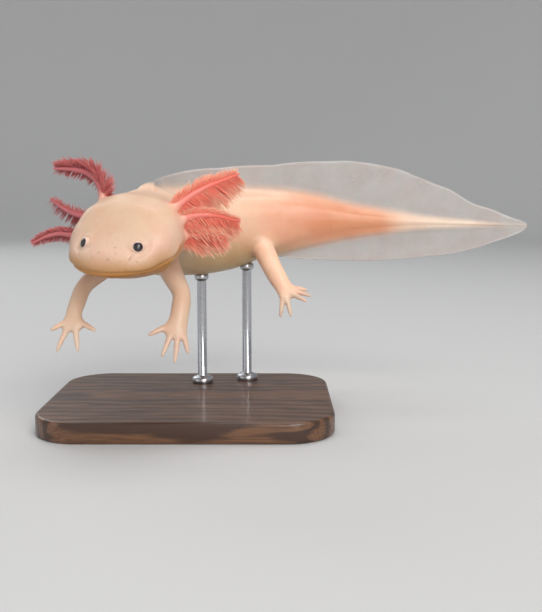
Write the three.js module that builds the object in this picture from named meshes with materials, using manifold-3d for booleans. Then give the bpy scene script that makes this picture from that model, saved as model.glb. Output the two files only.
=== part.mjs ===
// A life-size axolotl, held in a swimming pose by a plain display stand.
// Millimetres, +Z up. The origin is the centre of the stand's underside. The tail trails along +X,
// the trunk curls round to the front, and the head looks towards -Y and a little towards -X.
import * as THREE from "three";
import { mergeVertices } from "three/addons/utils/BufferGeometryUtils.js";
import Module from "manifold-3d";

const wasm = await Module();
wasm.setup();

// ---------------------------------------------------------------- driving dimensions (mm, degrees)
const BODY_LENGTH = 234; // snout tip to tail tip, along the body's axis
const SNOUT = new THREE.Vector3(-24.8, -58.5, 62.6); // where the axis starts
const GAP = 0.3; // clearance between neighbouring pieces
const JOINT_S = { neck: 32, chest: 48, waist: 80, tail: 120, tailRear: 166 }; // where lengths meet

// How the axis turns: distance from the snout, yaw away from +Y towards +X, rise towards the tail, and
// roll, which lifts the animal's right side.
const BENDS = [
  [0, 22.5, 28, 3],
  [20, 22.5, 28, 3],
  [30, 21, 22, 3],
  [40, 4, 9, 1],
  [52, -3, -4, 0],
  [70, 14.5, -2, 0],
  [90, 52.5, -1, 0],
  [112, 82, 0, 0],
  [135, 89, -0.5, 0],
  [170, 91, -1.5, 0],
  [BODY_LENGTH, 91, -2, 0],
];

// Flesh sections: distance from the snout, half width, height above the axis, depth below it, and the
// exponent of the outline's superellipse: 2 is an ellipse, less slopes more, and more is squarer.
const SECTIONS = [
  [0, 13.6, 4.6, 4.0, 2.0],
  [5, 15.2, 5.4, 5.2, 1.9],
  [10, 16.4, 6.6, 6.8, 1.85],
  [17, 17.8, 9.0, 8.8, 2.0],
  [24, 18.8, 11.2, 10.2, 2.2],
  [30, 18.2, 11.6, 11.0, 2.3],
  [37, 14.6, 11.2, 12.6, 2.2],
  [46, 13.6, 10.8, 16.0, 2.1],
  [60, 14.8, 10.6, 20.6, 2.1],
  [76, 16.4, 11.0, 23.0, 2.1],
  [92, 16.6, 11.4, 23.2, 2.1],
  [106, 14.8, 11.4, 21.6, 2.1],
  [118, 12.0, 11.4, 17.6, 2.1],
  [130, 9.0, 11.0, 12.6, 2.0],
  [144, 6.4, 9.2, 9.2, 2.0],
  [160, 4.2, 5.2, 5.8, 2.0],
  [180, 2.5, 2.9, 3.2, 2.0],
  [205, 1.3, 1.5, 1.5, 2.0],
  [BODY_LENGTH, 0.7, 0.7, 0.7, 2.0],
];

// Fin edges: distance from the snout, height of the upper edge and depth of the lower one, from the axis.
const UPPER_FIN = [
  [40, 7.5],
  [50, 11.0],
  [60, 13.6],
  [74, 17.0],
  [88, 19.8],
  [104, 21.8],
  [122, 23.2],
  [140, 25.2],
  [156, 25.8],
  [168, 24.6],
  [178, 22.0],
  [189, 17.8],
  [199, 13.8],
  [210, 8.6],
  [219, 5.4],
  [228, 2.2],
  [BODY_LENGTH, 1.2],
];
const LOWER_FIN = [
  [122, 15.5],
  [130, 16.8],
  [142, 17.2],
  [156, 17.4],
  [167, 17.0],
  [180, 16.0],
  [192, 14.4],
  [202, 12.6],
  [211, 10.2],
  [221, 6.6],
  [229, 3.0],
  [BODY_LENGTH, 1.0],
];
const FIN_REACH = { nape: 53, vent: 126, tip: BODY_LENGTH - 5 };
const FIN_ROOT_THICKNESS = 2.0;
const FIN_EDGE_THICKNESS = 0.7;
const FIN_CLEAR = GAP + 0.1; // a little more, as both surfaces are faceted

const SNOUT_ROUND = { across: 9, high: 5.5 }; // lengths over which the snout's end closes
const NOSE_STATIONS = [0.02, 0.3, 0.9, 1.9, 3.3]; // sections of the snout's rounded end
const HEAD_STEP = 4; // spacing of the sections behind it
const HEAD_S = 10; // the station whose directions are the skull's

const EYE = { s: 10.8, out: 10.8, up: 4.3, radius: 2.3 };
const MOUTH = { up: -0.3, corner: 19 }; // the lip line, from the axis, and how far back the corners lie
const JAW_CUT = { ahead: 6, beyond: 30 }; // how far the jaw's cutting block passes the snout and the cheeks

const STAND = { length: 112, depth: 86, thick: 8, corner: 18, bevel: 1.2 };
const ROD = { radius: 2, foot: 4.5, footHigh: 3, footBevel: 0.8 };
const ROD_S = { front: 94, rear: 114 }; // where the two rods meet the belly

const RING_SIDES = 24; // corners of a flesh section
const FIN_STEP = 8; // spacing of the fins' sections

// ---------------------------------------------------------------- small helpers
const rad = THREE.MathUtils.degToRad;
const UP = new THREE.Vector3(0, 0, 1);

/** A smooth curve through a table's rows, column by column, that doesn't overshoot between them. */
function curveThrough(rows) {
  const slopeOf = (i, column) => {
    if (i === 0 || i === rows.length - 1) return 0;
    const [before, here, after] = [rows[i - 1], rows[i], rows[i + 1]];
    const h0 = here[0] - before[0];
    const h1 = after[0] - here[0];
    const d0 = (here[column] - before[column]) / h0;
    const d1 = (after[column] - here[column]) / h1;
    if (d0 * d1 <= 0) return 0;
    const [w0, w1] = [2 * h1 + h0, h1 + 2 * h0];
    return (w0 + w1) / (w0 / d0 + w1 / d1);
  };
  return (s, column = 1) => {
    if (s <= rows[0][0]) return rows[0][column];
    if (s >= rows.at(-1)[0]) return rows.at(-1)[column];
    const i = rows.findIndex((row) => row[0] > s) - 1;
    const [a, b] = [rows[i], rows[i + 1]];
    const h = b[0] - a[0];
    const t = (s - a[0]) / h;
    const [m0, m1] = [slopeOf(i, column) * h, slopeOf(i + 1, column) * h];
    const [t2, t3] = [t * t, t * t * t];
    const ends = a[column] * (2 * t3 - 3 * t2 + 1) + b[column] * (3 * t2 - 2 * t3);
    return ends + m0 * (t3 - 2 * t2 + t) + m1 * (t3 - t2);
  };
}

/** A closed skin over rings of points, all with the same count, with both ends capped. */
function loft(rings) {
  const sides = rings[0].length;
  const sumOf = (ring) => ring.reduce((sum, p) => sum.add(p), new THREE.Vector3());
  const middle = (ring) => sumOf(ring).divideScalar(ring.length);
  const points = [...rings.flat(), middle(rings[0]), middle(rings.at(-1))];
  const last = (rings.length - 1) * sides;
  const index = [];
  for (let j = 0; j < sides; j++) {
    const k = (j + 1) % sides;
    for (let at = 0; at < last; at += sides) {
      index.push(at + j, at + k, at + sides + k, at + j, at + sides + k, at + sides + j);
    }
    index.push(points.length - 2, k, j, points.length - 1, last + j, last + k);
  }
  const geometry = new THREE.BufferGeometry().setFromPoints(points);
  geometry.setIndex(index);
  return signedVolume(geometry) < 0 ? geometry.setIndex(index.reverse()) : geometry;
}

/** Six times the volume inside a closed indexed geometry, negative when its faces point inwards. */
function signedVolume(geometry) {
  const at = geometry.getAttribute("position");
  const corner = (i) => new THREE.Vector3().fromBufferAttribute(at, geometry.index.getX(i));
  let sum = 0;
  for (let i = 0; i < geometry.index.count; i += 3) {
    sum += corner(i).dot(corner(i + 1).cross(corner(i + 2)));
  }
  return sum;
}

/** A three.js geometry as a solid that can be cut and joined. */
function toSolid(geometry) {
  const bare = geometry.clone();
  bare.deleteAttribute("normal");
  bare.deleteAttribute("uv");
  const merged = mergeVertices(bare, 1e-4);
  const vertProperties = new Float32Array(merged.getAttribute("position").array);
  const triVerts = new Uint32Array(merged.index.array);
  return new wasm.Manifold(new wasm.Mesh({ numProp: 3, vertProperties, triVerts }));
}

/** The largest body of a solid, as a geometry. */
function toGeometry(solid) {
  const body = solid.decompose().sort((a, b) => b.volume() - a.volume())[0];
  const { vertProperties, triVerts, numProp, numVert } = body.getMesh();
  const points = Array.from({ length: numVert }, (_, i) =>
    new THREE.Vector3(...vertProperties.subarray(i * numProp, i * numProp + 3)),
  );
  return new THREE.BufferGeometry().setFromPoints(points).setIndex([...triVerts]);
}

const join = (...solids) => solids.reduce((all, one) => all.add(one));

// ---------------------------------------------------------------- the body's axis
const bendAt = curveThrough(BENDS);
const sectionAt = curveThrough(SECTIONS);
const upperFinAt = curveThrough(UPPER_FIN);
const lowerFinAt = curveThrough(LOWER_FIN);

/** The directions at a station: back along the body, up out of its spine, and out to the animal's left. */
function directions(s) {
  const [yaw, rise, roll] = [1, 2, 3].map((column) => rad(bendAt(s, column)));
  const level = new THREE.Vector3(Math.sin(yaw), Math.cos(yaw), 0);
  const back = level.clone().multiplyScalar(Math.cos(rise)).addScaledVector(UP, Math.sin(rise));
  const up = level.multiplyScalar(-Math.sin(rise)).addScaledVector(UP, Math.cos(rise));
  up.applyAxisAngle(back, roll);
  return { back, up, left: new THREE.Vector3().crossVectors(back, up) };
}

const AXIS_STEP = 0.5;
const AXIS = [SNOUT.clone()];
for (let s = AXIS_STEP; s <= BODY_LENGTH + 2; s += AXIS_STEP) {
  AXIS.push(AXIS.at(-1).clone().addScaledVector(directions(s - AXIS_STEP / 2).back, AXIS_STEP));
}

/** A point given by its station and its offsets from the axis there. */
function bodyPoint(s, left = 0, up = 0) {
  const k = THREE.MathUtils.clamp(s / AXIS_STEP, 0, AXIS.length - 1.001);
  const on = AXIS[Math.floor(k)].clone().lerp(AXIS[Math.floor(k) + 1], k % 1);
  if (s < 0) on.addScaledVector(directions(0).back, s);
  const way = directions(s);
  return on.addScaledVector(way.left, left).addScaledVector(way.up, up);
}

// ---------------------------------------------------------------- flesh of the head, trunk and tail
const closing = (s, length) => (s >= length ? 1 : Math.sqrt(Math.max(0, 1 - (1 - s / length) ** 2)));

/** The outline of the flesh at a station, grown outwards by a clearance. */
function fleshRing(s, grow = 0) {
  const wide = sectionAt(s, 1) * closing(s, SNOUT_ROUND.across) + grow;
  const [top, bottom] = [2, 3].map((column) => sectionAt(s, column) * closing(s, SNOUT_ROUND.high) + grow);
  const power = 2 / sectionAt(s, 4);
  return Array.from({ length: RING_SIDES }, (_, j) => {
    const turn = (2 * Math.PI * (j + 0.5)) / RING_SIDES;
    const [c, d] = [Math.cos(turn), Math.sin(turn)];
    const left = wide * Math.sign(c) * Math.abs(c) ** power;
    return bodyPoint(s, left, (d > 0 ? top : bottom) * Math.sign(d) * Math.abs(d) ** power);
  });
}

/** The flesh between two stations, as a solid. */
function flesh(from, to, step, grow = 0) {
  const count = Math.max(1, Math.round((to - from) / step));
  const stations = Array.from({ length: count + 1 }, (_, i) => from + ((to - from) * i) / count);
  if (from <= 0) {
    stations.splice(0, stations.filter((s) => s < HEAD_STEP).length, ...NOSE_STATIONS);
  }
  return toSolid(loft(stations.map((s) => fleshRing(s, grow))));
}

const clearOfBody = flesh(0, BODY_LENGTH, HEAD_STEP, GAP);

/** A box in the head's own directions: reach forward and back of a station, half width, and heights. */
function headBox(fromS, toS, halfWidth, low, high) {
  const { back, up, left } = directions(HEAD_S);
  const box = new THREE.BoxGeometry(2 * halfWidth, toS - fromS, high - low);
  box.applyMatrix4(new THREE.Matrix4().makeBasis(left, back, up));
  const centre = bodyPoint((fromS + toS) / 2, 0, (low + high) / 2);
  return toSolid(box.translate(centre.x, centre.y, centre.z));
}

const eyeBall = (side, grow = 0) => {
  const centre = bodyPoint(EYE.s, side * EYE.out, EYE.up);
  const ball = new THREE.SphereGeometry(EYE.radius + grow, 12, 8);
  return toSolid(ball.translate(centre.x, centre.y, centre.z));
};

const headFlesh = flesh(0, JOINT_S.neck - GAP / 2, HEAD_STEP);
const { ahead, beyond } = JAW_CUT;
const jawBlock = headBox(-ahead, MOUTH.corner, beyond, -beyond, MOUTH.up);
const jawClearance = headBox(-ahead, MOUTH.corner + GAP, beyond, -beyond, MOUTH.up + GAP);

// ---------------------------------------------------------------- fins
/** A fin between two stations, from just clear of the flesh to its edge, above (+1) or below (-1). */
function fin(from, to, side, edgeAt) {
  const steps = Math.round((to - from) / FIN_STEP);
  const rings = Array.from({ length: steps + 1 }, (_, i) => {
    const s = from + ((to - from) * i) / steps;
    const foot = sectionAt(s, side > 0 ? 2 : 3) + FIN_CLEAR;
    const edge = Math.max(edgeAt(s), foot + 0.5);
    const half = [
      [FIN_ROOT_THICKNESS / 2, foot],
      [(FIN_ROOT_THICKNESS + FIN_EDGE_THICKNESS) / 4, (foot + edge) / 2],
      [FIN_EDGE_THICKNESS / 2, edge],
    ];
    const outline = [...half, ...half.map(([left, up]) => [-left, up]).reverse()];
    return outline.map(([left, up]) => bodyPoint(s, left, side * up));
  });
  return loft(rings);
}

// ---------------------------------------------------------------- limbs
/** A tapering limb through joints, each a point with a half width along a direction and a half thickness. */
function limb(joints, wideTowards, steps, sides = 10) {
  const path = new THREE.CatmullRomCurve3(joints.map((joint) => joint.at), false, "centripetal");
  const along = curveThrough(joints.map((joint, i) => [i / (joints.length - 1), joint.wide, joint.thick]));
  const rings = Array.from({ length: steps + 1 }, (_, i) => {
    const t = i / steps;
    const way = path.getTangent(t);
    const across = wideTowards.clone().addScaledVector(way, -way.dot(wideTowards)).normalize();
    const thin = new THREE.Vector3().crossVectors(across, way);
    return Array.from({ length: sides }, (_, j) => {
      const turn = (2 * Math.PI * j) / sides;
      return path
        .getPoint(t)
        .addScaledVector(across, along(t, 1) * Math.cos(turn))
        .addScaledVector(thin, along(t, 2) * Math.sin(turn));
    });
  });
  return toSolid(loft(rings));
}

const point = (x, y, z) => new THREE.Vector3(x, y, z);
const joint = (at, wide, thick = wide) => ({ at, wide, thick });

// Each leg: its root inside the body, its bend (elbow or knee), its ankle or wrist, the middle of its palm,
// the tips of its digits, and its half widths at root, bend, ankle and palm.
const LEGS = {
  foreleg_left: {
    root: bodyPoint(49, 3, -12),
    bend: point(-0.5, -30, 51.9),
    ankle: point(-0.9, -35.5, 44.6),
    palm: point(-1.9, -38, 41.4),
    digits: [
      point(-11.1, -40.5, 39.1),
      point(-6.2, -42.5, 32.7),
      point(-1.8, -43, 30.4),
      point(3, -41, 33.6),
    ],
    girth: [4.6, 3.1, 3.0, 4.2],
  },
  foreleg_right: {
    root: bodyPoint(48, -8, -10),
    bend: point(-35.4, -34, 55.2),
    ankle: point(-37.2, -41, 47),
    palm: point(-37, -43.5, 44.4),
    digits: [
      point(-44.1, -46, 42),
      point(-42, -47.5, 34.9),
      point(-34.5, -48.5, 35.1),
      point(-28.7, -46, 41.5),
    ],
    girth: [4.6, 3.1, 2.8, 3.7],
  },
  hindleg_left: {
    root: bodyPoint(119, 5, -8.5),
    bend: point(34, 12, 56.9),
    ankle: point(37.3, 8, 51.1),
    palm: point(39.3, 6, 48.7),
    digits: [
      point(36, 2, 39.4),
      point(40.4, 0.5, 40.1),
      point(47.3, 1, 46.2),
      point(49.4, 6, 47.5),
      point(47.9, 10, 49.5),
    ],
    girth: [4.6, 3.6, 3.3, 4.0],
  },
  hindleg_right: {
    root: bodyPoint(117, -4, -8),
    bend: point(24.5, 54.5, 65.5),
    ankle: point(30.5, 62, 64.5),
    palm: point(33, 65, 64.2),
    digits: [
      point(26.5, 72.5, 62.4),
      point(30.6, 74.8, 61.9),
      point(35, 75.4, 62.1),
      point(39.6, 73.4, 62.5),
      point(42.4, 68.6, 63),
    ],
    girth: [4.6, 3.6, 3.2, 4.0],
  },
};
const DIGIT = { root: 1.35, knuckle: 1.03, tip: 0.5 };
const PALM_PAST = 1.6; // how far the flat of the foot reaches past the middle of the palm

/** One leg as three solids: the upper leg, the lower leg, and the foot with its digits. */
function leg({ root, bend, ankle, palm, digits, girth }) {
  const outward = new THREE.Vector3().subVectors(palm, ankle).normalize();
  const spread = new THREE.Vector3().subVectors(digits[0], digits.at(-1)).normalize();
  const between = (a, b, share) => a.clone().lerp(b, share);
  const [shoulder, elbow, wrist, hand] = girth;
  const shaft = [
    joint(root, shoulder),
    joint(between(root, bend, 0.55), (shoulder + elbow) / 2),
    joint(bend, elbow),
    joint(ankle, wrist, wrist * 0.8),
  ];
  const pad = [
    joint(between(ankle, bend, 0.15), wrist * 0.95, wrist * 0.72),
    joint(between(ankle, palm, 0.6), hand * 0.9, wrist * 0.62),
    joint(palm.clone().addScaledVector(outward, PALM_PAST), hand * 0.8, wrist * 0.45),
  ];
  const toes = digits.map((tip, i) => {
    const side = 1 - (2 * i) / (digits.length - 1);
    const start = palm.clone().addScaledVector(spread, hand * 0.55 * side);
    const knuckle = between(start, tip, 0.5);
    const toe = [joint(start, DIGIT.root), joint(knuckle, DIGIT.knuckle), joint(tip, DIGIT.tip)];
    return limb(toe, spread, 2, 6);
  });
  const whole = join(limb(shaft, spread, 10), limb(pad, spread, 3), ...toes);
  const atBend = new THREE.Vector3().subVectors(ankle, root).normalize();
  const atAnkle = new THREE.Vector3().subVectors(palm, bend).normalize();
  return {
    upper: halfOf(whole, bend, atBend, -1),
    lower: halfOf(halfOf(whole, bend, atBend, 1), ankle, atAnkle, -1),
    foot: halfOf(whole, ankle, atAnkle, 1),
  };
}

/** What of a solid lies past (+1) or before (-1) a plane through a point, with room for half a gap. */
function halfOf(solid, at, way, side) {
  const normal = way.clone().multiplyScalar(side);
  return solid.trimByPlane(normal.toArray(), normal.dot(at) + GAP / 2);
}

// ---------------------------------------------------------------- gills
// Each gill in the directions of the head's rear, [back, left, up] from the axis at the gill line: the stalk
// from its root to its tip, the way its fringe hangs, and how far the fringe reaches that way and the other.
const GILL_S = 31;
const GILL_WAY_S = 25; // the station whose directions the gills are given in
const GILLS = {
  gill_left_upper: {
    stalk: [[0, 12.5, 7], [7.2, 20.7, 11], [13.6, 27, 12.5], [19.9, 33.4, 13.5]],
    hang: [0.3, 0.35, -0.9],
    reach: [7, 3.4],
  },
  gill_left_middle: {
    stalk: [[-1, 14.5, 3.2], [3.5, 22.7, 4.5], [7.5, 28.7, 2.6], [11.8, 34.8, -1.2]],
    hang: [0.3, 0.3, -0.9],
    reach: [6.4, 2.4],
  },
  gill_left_lower: {
    stalk: [[-1.5, 14, -2], [0.3, 22.2, -2.5], [1.6, 25.9, -4.3], [2.8, 29.2, -6.9]],
    hang: [0.3, 0.2, -0.9],
    reach: [5.4, 2],
  },
  gill_right_upper: {
    stalk: [[0, -12, 7], [7.3, -16.5, 12.8], [9.7, -23.6, 16.5], [8.1, -36, 17.7]],
    hang: [0.4, 0, -0.9],
    reach: [4.8, 4.4],
  },
  gill_right_middle: {
    stalk: [[-0.5, -14, 3.5], [1.2, -25.5, 3.6], [2.7, -32.7, 5.5], [3.8, -37.5, 8.2]],
    hang: [0.4, 0, -0.9],
    reach: [5.2, 2.4],
  },
  gill_right_lower: {
    stalk: [[-2, -14, -1.7], [-2.2, -29.6, -3.1], [-3.8, -38, -3.9], [-6.9, -44.2, -6]],
    hang: [0.4, 0, -0.9],
    reach: [3.8, 2.8],
  },
};
const STALK = { root: 2.2, middle: 1.6, tip: 0.7 };
const FRINGE_THICKNESS = 1.0;
const FRINGE = [[0.22, 0.25], [0.45, 0.85], [0.75, 1], [1, 0.5]]; // shares along the stalk and of full reach

/** A gill: a round tapering stalk, with the flat body of its fringe down both sides. */
function gill({ stalk, hang, reach }) {
  const base = bodyPoint(GILL_S);
  const { back, left, up } = directions(GILL_WAY_S);
  const turned = ([b, l, u]) =>
    new THREE.Vector3().addScaledVector(back, b).addScaledVector(left, l).addScaledVector(up, u);
  const along = new THREE.CatmullRomCurve3(stalk.map((at) => turned(at).add(base)), false, "centripetal");
  const towards = turned(hang).normalize();
  const core = [
    joint(along.getPoint(0), STALK.root),
    joint(along.getPoint(0.35), STALK.middle),
    joint(along.getPoint(0.7), (STALK.middle + STALK.tip) / 2),
    joint(along.getPoint(1), STALK.tip),
  ];
  const [far, near] = reach;
  const blade = FRINGE.map(([t, share]) => {
    const middle = along.getPoint(t).addScaledVector(towards, ((far - near) / 2) * share);
    return joint(middle, ((far + near) / 2) * share, FRINGE_THICKNESS / 2);
  });
  return join(limb(core, towards, 6, 6), limb(blade, towards, 5, 8));
}

// ---------------------------------------------------------------- display stand
/** The flat base: a rounded rectangle with a small bevel round its top and bottom edges. */
function standBase() {
  const { length, depth, thick, corner, bevel } = STAND;
  const [x, y] = [length / 2 - bevel, depth / 2 - bevel];
  const shape = new THREE.Shape();
  shape.moveTo(-x + corner, -y);
  shape.lineTo(x - corner, -y);
  shape.absarc(x - corner, -y + corner, corner, -Math.PI / 2, 0);
  shape.absarc(x - corner, y - corner, corner, 0, Math.PI / 2);
  shape.absarc(-x + corner, y - corner, corner, Math.PI / 2, Math.PI);
  shape.absarc(-x + corner, -y + corner, corner, Math.PI, 1.5 * Math.PI);
  const slab = new THREE.ExtrudeGeometry(shape, {
    depth: thick - 2 * bevel,
    bevelThickness: bevel,
    bevelSize: bevel,
    bevelSegments: 1,
    curveSegments: 5,
  });
  return slab.translate(0, 0, bevel);
}

/** A rod with a small round foot, from the base up into the belly at a station, cut clear of the flesh. */
function standRod(s) {
  const top = bodyPoint(s);
  const { radius, foot, footHigh, footBevel } = ROD;
  const profile = [
    [0, STAND.thick + GAP],
    [foot, STAND.thick + GAP],
    [foot, STAND.thick + footHigh - footBevel],
    [foot - footBevel, STAND.thick + footHigh],
    [radius, STAND.thick + footHigh],
    [radius, top.z],
    [0, top.z],
  ].map(([r, z]) => new THREE.Vector2(r, z));
  const turned = new THREE.LatheGeometry(profile, 16).rotateX(Math.PI / 2);
  const solid = toSolid(turned.translate(top.x, top.y, 0));
  return solid.subtract(clearOfBody);
}

// ---------------------------------------------------------------- materials and nodes
const material = (colour, roughness, metalness = 0) =>
  new THREE.MeshStandardMaterial({ color: colour, roughness, metalness });
const SKIN = material(0xf2cdb4, 0.35);
const GILL = material(0xe0706a, 0.45);
const FIN = material(0xc9b9b2, 0.3);
const EYE_DARK = material(0x15131a, 0.12);
const WOOD = material(0x4a3222, 0.5);
const STEEL = material(0xb8bbbe, 0.3, 1);

const axolotl = new THREE.Group();

/** Adds a named piece to the model. */
function piece(name, geometry, finish) {
  const mesh = new THREE.Mesh(geometry, finish);
  mesh.name = name;
  axolotl.add(mesh);
}

const sockets = join(eyeBall(1, GAP), eyeBall(-1, GAP));
piece("head", toGeometry(headFlesh.subtract(jawClearance).subtract(sockets)), SKIN);
piece("lower_jaw", toGeometry(headFlesh.intersect(jawBlock)), SKIN);
piece("eye_left", toGeometry(eyeBall(1)), EYE_DARK);
piece("eye_right", toGeometry(eyeBall(-1)), EYE_DARK);

const lengths = [
  ["neck", JOINT_S.neck, JOINT_S.chest, 4],
  ["trunk_front", JOINT_S.chest, JOINT_S.waist, 5],
  ["trunk_rear", JOINT_S.waist, JOINT_S.tail, 5],
  ["tail_front", JOINT_S.tail, JOINT_S.tailRear, 7],
  ["tail_rear", JOINT_S.tailRear, BODY_LENGTH, 9],
];
for (const [name, from, to, step] of lengths) {
  const end = to < BODY_LENGTH ? to - GAP / 2 : to;
  piece(name, toGeometry(flesh(from + GAP / 2, end, step)), SKIN);
}

const fins = [
  ["dorsal_fin", FIN_REACH.nape, JOINT_S.tail - GAP / 2, 1, upperFinAt],
  ["tail_fin_upper", JOINT_S.tail + GAP / 2, FIN_REACH.tip, 1, upperFinAt],
  ["tail_fin_lower", FIN_REACH.vent, FIN_REACH.tip, -1, lowerFinAt],
];
for (const [name, from, to, side, edgeAt] of fins) {
  piece(name, fin(from, to, side, edgeAt), FIN);
}

for (const [name, plan] of Object.entries(GILLS)) {
  piece(name, toGeometry(gill(plan).subtract(clearOfBody)), GILL);
}

for (const [name, plan] of Object.entries(LEGS)) {
  const { upper, lower, foot } = leg(plan);
  piece(`${name}_upper`, toGeometry(upper.subtract(clearOfBody)), SKIN);
  piece(`${name}_lower`, toGeometry(lower.subtract(clearOfBody)), SKIN);
  piece(`${name}_foot`, toGeometry(foot), SKIN);
}

piece("stand_base", standBase(), WOOD);
piece("stand_rod_front", toGeometry(standRod(ROD_S.front)), STEEL);
piece("stand_rod_rear", toGeometry(standRod(ROD_S.rear)), STEEL);

export default axolotl;
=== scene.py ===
"""Looks of a life-size axolotl model, held in a swimming pose by a plain display stand.

Lengths are millimetres and angles degrees until a mesh is made, which is in metres. A place on the
animal is given by its station, the distance from the snout along the body's axis, and by its offsets
to the animal's left and up from the axis there.
"""

import sys

import logging
import math
from collections.abc import Sequence
from dataclasses import dataclass, field
from enum import Enum

import bpy
import numpy as np
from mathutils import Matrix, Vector
from mathutils.bvhtree import BVHTree


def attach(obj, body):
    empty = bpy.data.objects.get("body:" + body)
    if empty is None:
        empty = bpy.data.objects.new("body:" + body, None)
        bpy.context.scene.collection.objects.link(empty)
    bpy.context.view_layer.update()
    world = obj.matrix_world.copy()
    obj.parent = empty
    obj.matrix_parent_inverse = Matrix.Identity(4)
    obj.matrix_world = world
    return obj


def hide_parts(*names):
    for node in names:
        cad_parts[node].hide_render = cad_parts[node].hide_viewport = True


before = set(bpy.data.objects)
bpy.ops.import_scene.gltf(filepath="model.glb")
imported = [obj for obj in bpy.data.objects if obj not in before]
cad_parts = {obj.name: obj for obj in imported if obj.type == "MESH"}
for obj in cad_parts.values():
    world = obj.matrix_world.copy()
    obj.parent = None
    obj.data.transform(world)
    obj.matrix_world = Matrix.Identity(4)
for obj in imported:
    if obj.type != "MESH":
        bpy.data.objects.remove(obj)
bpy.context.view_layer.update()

MM = 0.001
BODY = "root"
LOG = logging.getLogger("axolotl")

Array = np.ndarray
Point = tuple[float, float, float]
Colour = tuple[float, float, float]
Node = bpy.types.Node
Socket = bpy.types.NodeSocket


# ---- numbers and curves
def unit(vectors: Array) -> Array:
    """Vectors, scaled to length one."""
    return vectors / np.maximum(np.linalg.norm(vectors, axis=-1, keepdims=True), 1e-12)


def ramp(x: Array, low: float, high: float) -> Array:
    """A smooth rise from 0 at low to 1 at high."""
    t = np.clip((np.asarray(x, float) - low) / (high - low), 0, 1)
    return t * t * (3 - 2 * t)


def bump(x: Array, centre: float, width: float) -> Array:
    """A bell of height 1 about a centre."""
    return np.exp(-(((np.asarray(x, float) - centre) / width) ** 2))


def linear(red: int, green: int, blue: int) -> Colour:
    """A colour named in 0 to 255 screen values, as linear light."""
    shares = (c / 255 for c in (red, green, blue))
    return tuple(c / 12.92 if c <= 0.04045 else ((c + 0.055) / 1.055) ** 2.4 for c in shares)


class Table:
    """A smooth curve through the rows of a table, column by column, that doesn't overshoot between them."""

    def __init__(self, rows: Sequence[Sequence[float]]) -> None:
        """Finds the curve's slopes.

        Args:
            rows: rows of a place followed by the values there, in order of place.
        """
        table = np.array(rows, float)
        self.at, self.values = table[:, 0], table[:, 1:]
        self.steps = np.diff(self.at)
        rises = np.diff(self.values, axis=0) / self.steps[:, None]
        self.slopes = np.zeros_like(self.values)
        h0, h1 = self.steps[:-1, None], self.steps[1:, None]
        before, after = rises[:-1], rises[1:]
        first, second = 2 * h1 + h0, h1 + 2 * h0
        same_way = before * after > 0
        safe = [np.where(same_way, rise, 1.0) for rise in (before, after)]
        mean = (first + second) / (first / safe[0] + second / safe[1])
        self.slopes[1:-1] = np.where(same_way, mean, 0.0)

    def __call__(self, place: Array | float) -> Array:
        """The values at one or more places.

        Args:
            place: the places, of any shape.

        Returns:
            The values, with one more axis for the columns, or without it if the table has one column.
        """
        x = np.clip(np.asarray(place, float), self.at[0], self.at[-1])
        i = np.clip(np.searchsorted(self.at, x, side="right") - 1, 0, len(self.steps) - 1)
        h = self.steps[i][..., None]
        t = (x - self.at[i])[..., None] / h
        ends = self.values[i] * (2 * t**3 - 3 * t**2 + 1) + self.values[i + 1] * (3 * t**2 - 2 * t**3)
        slopes = self.slopes[i] * (t**3 - 2 * t**2 + t) + self.slopes[i + 1] * (t**3 - t**2)
        found = ends + h * slopes
        return found[..., 0] if found.shape[-1] == 1 else found


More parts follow.
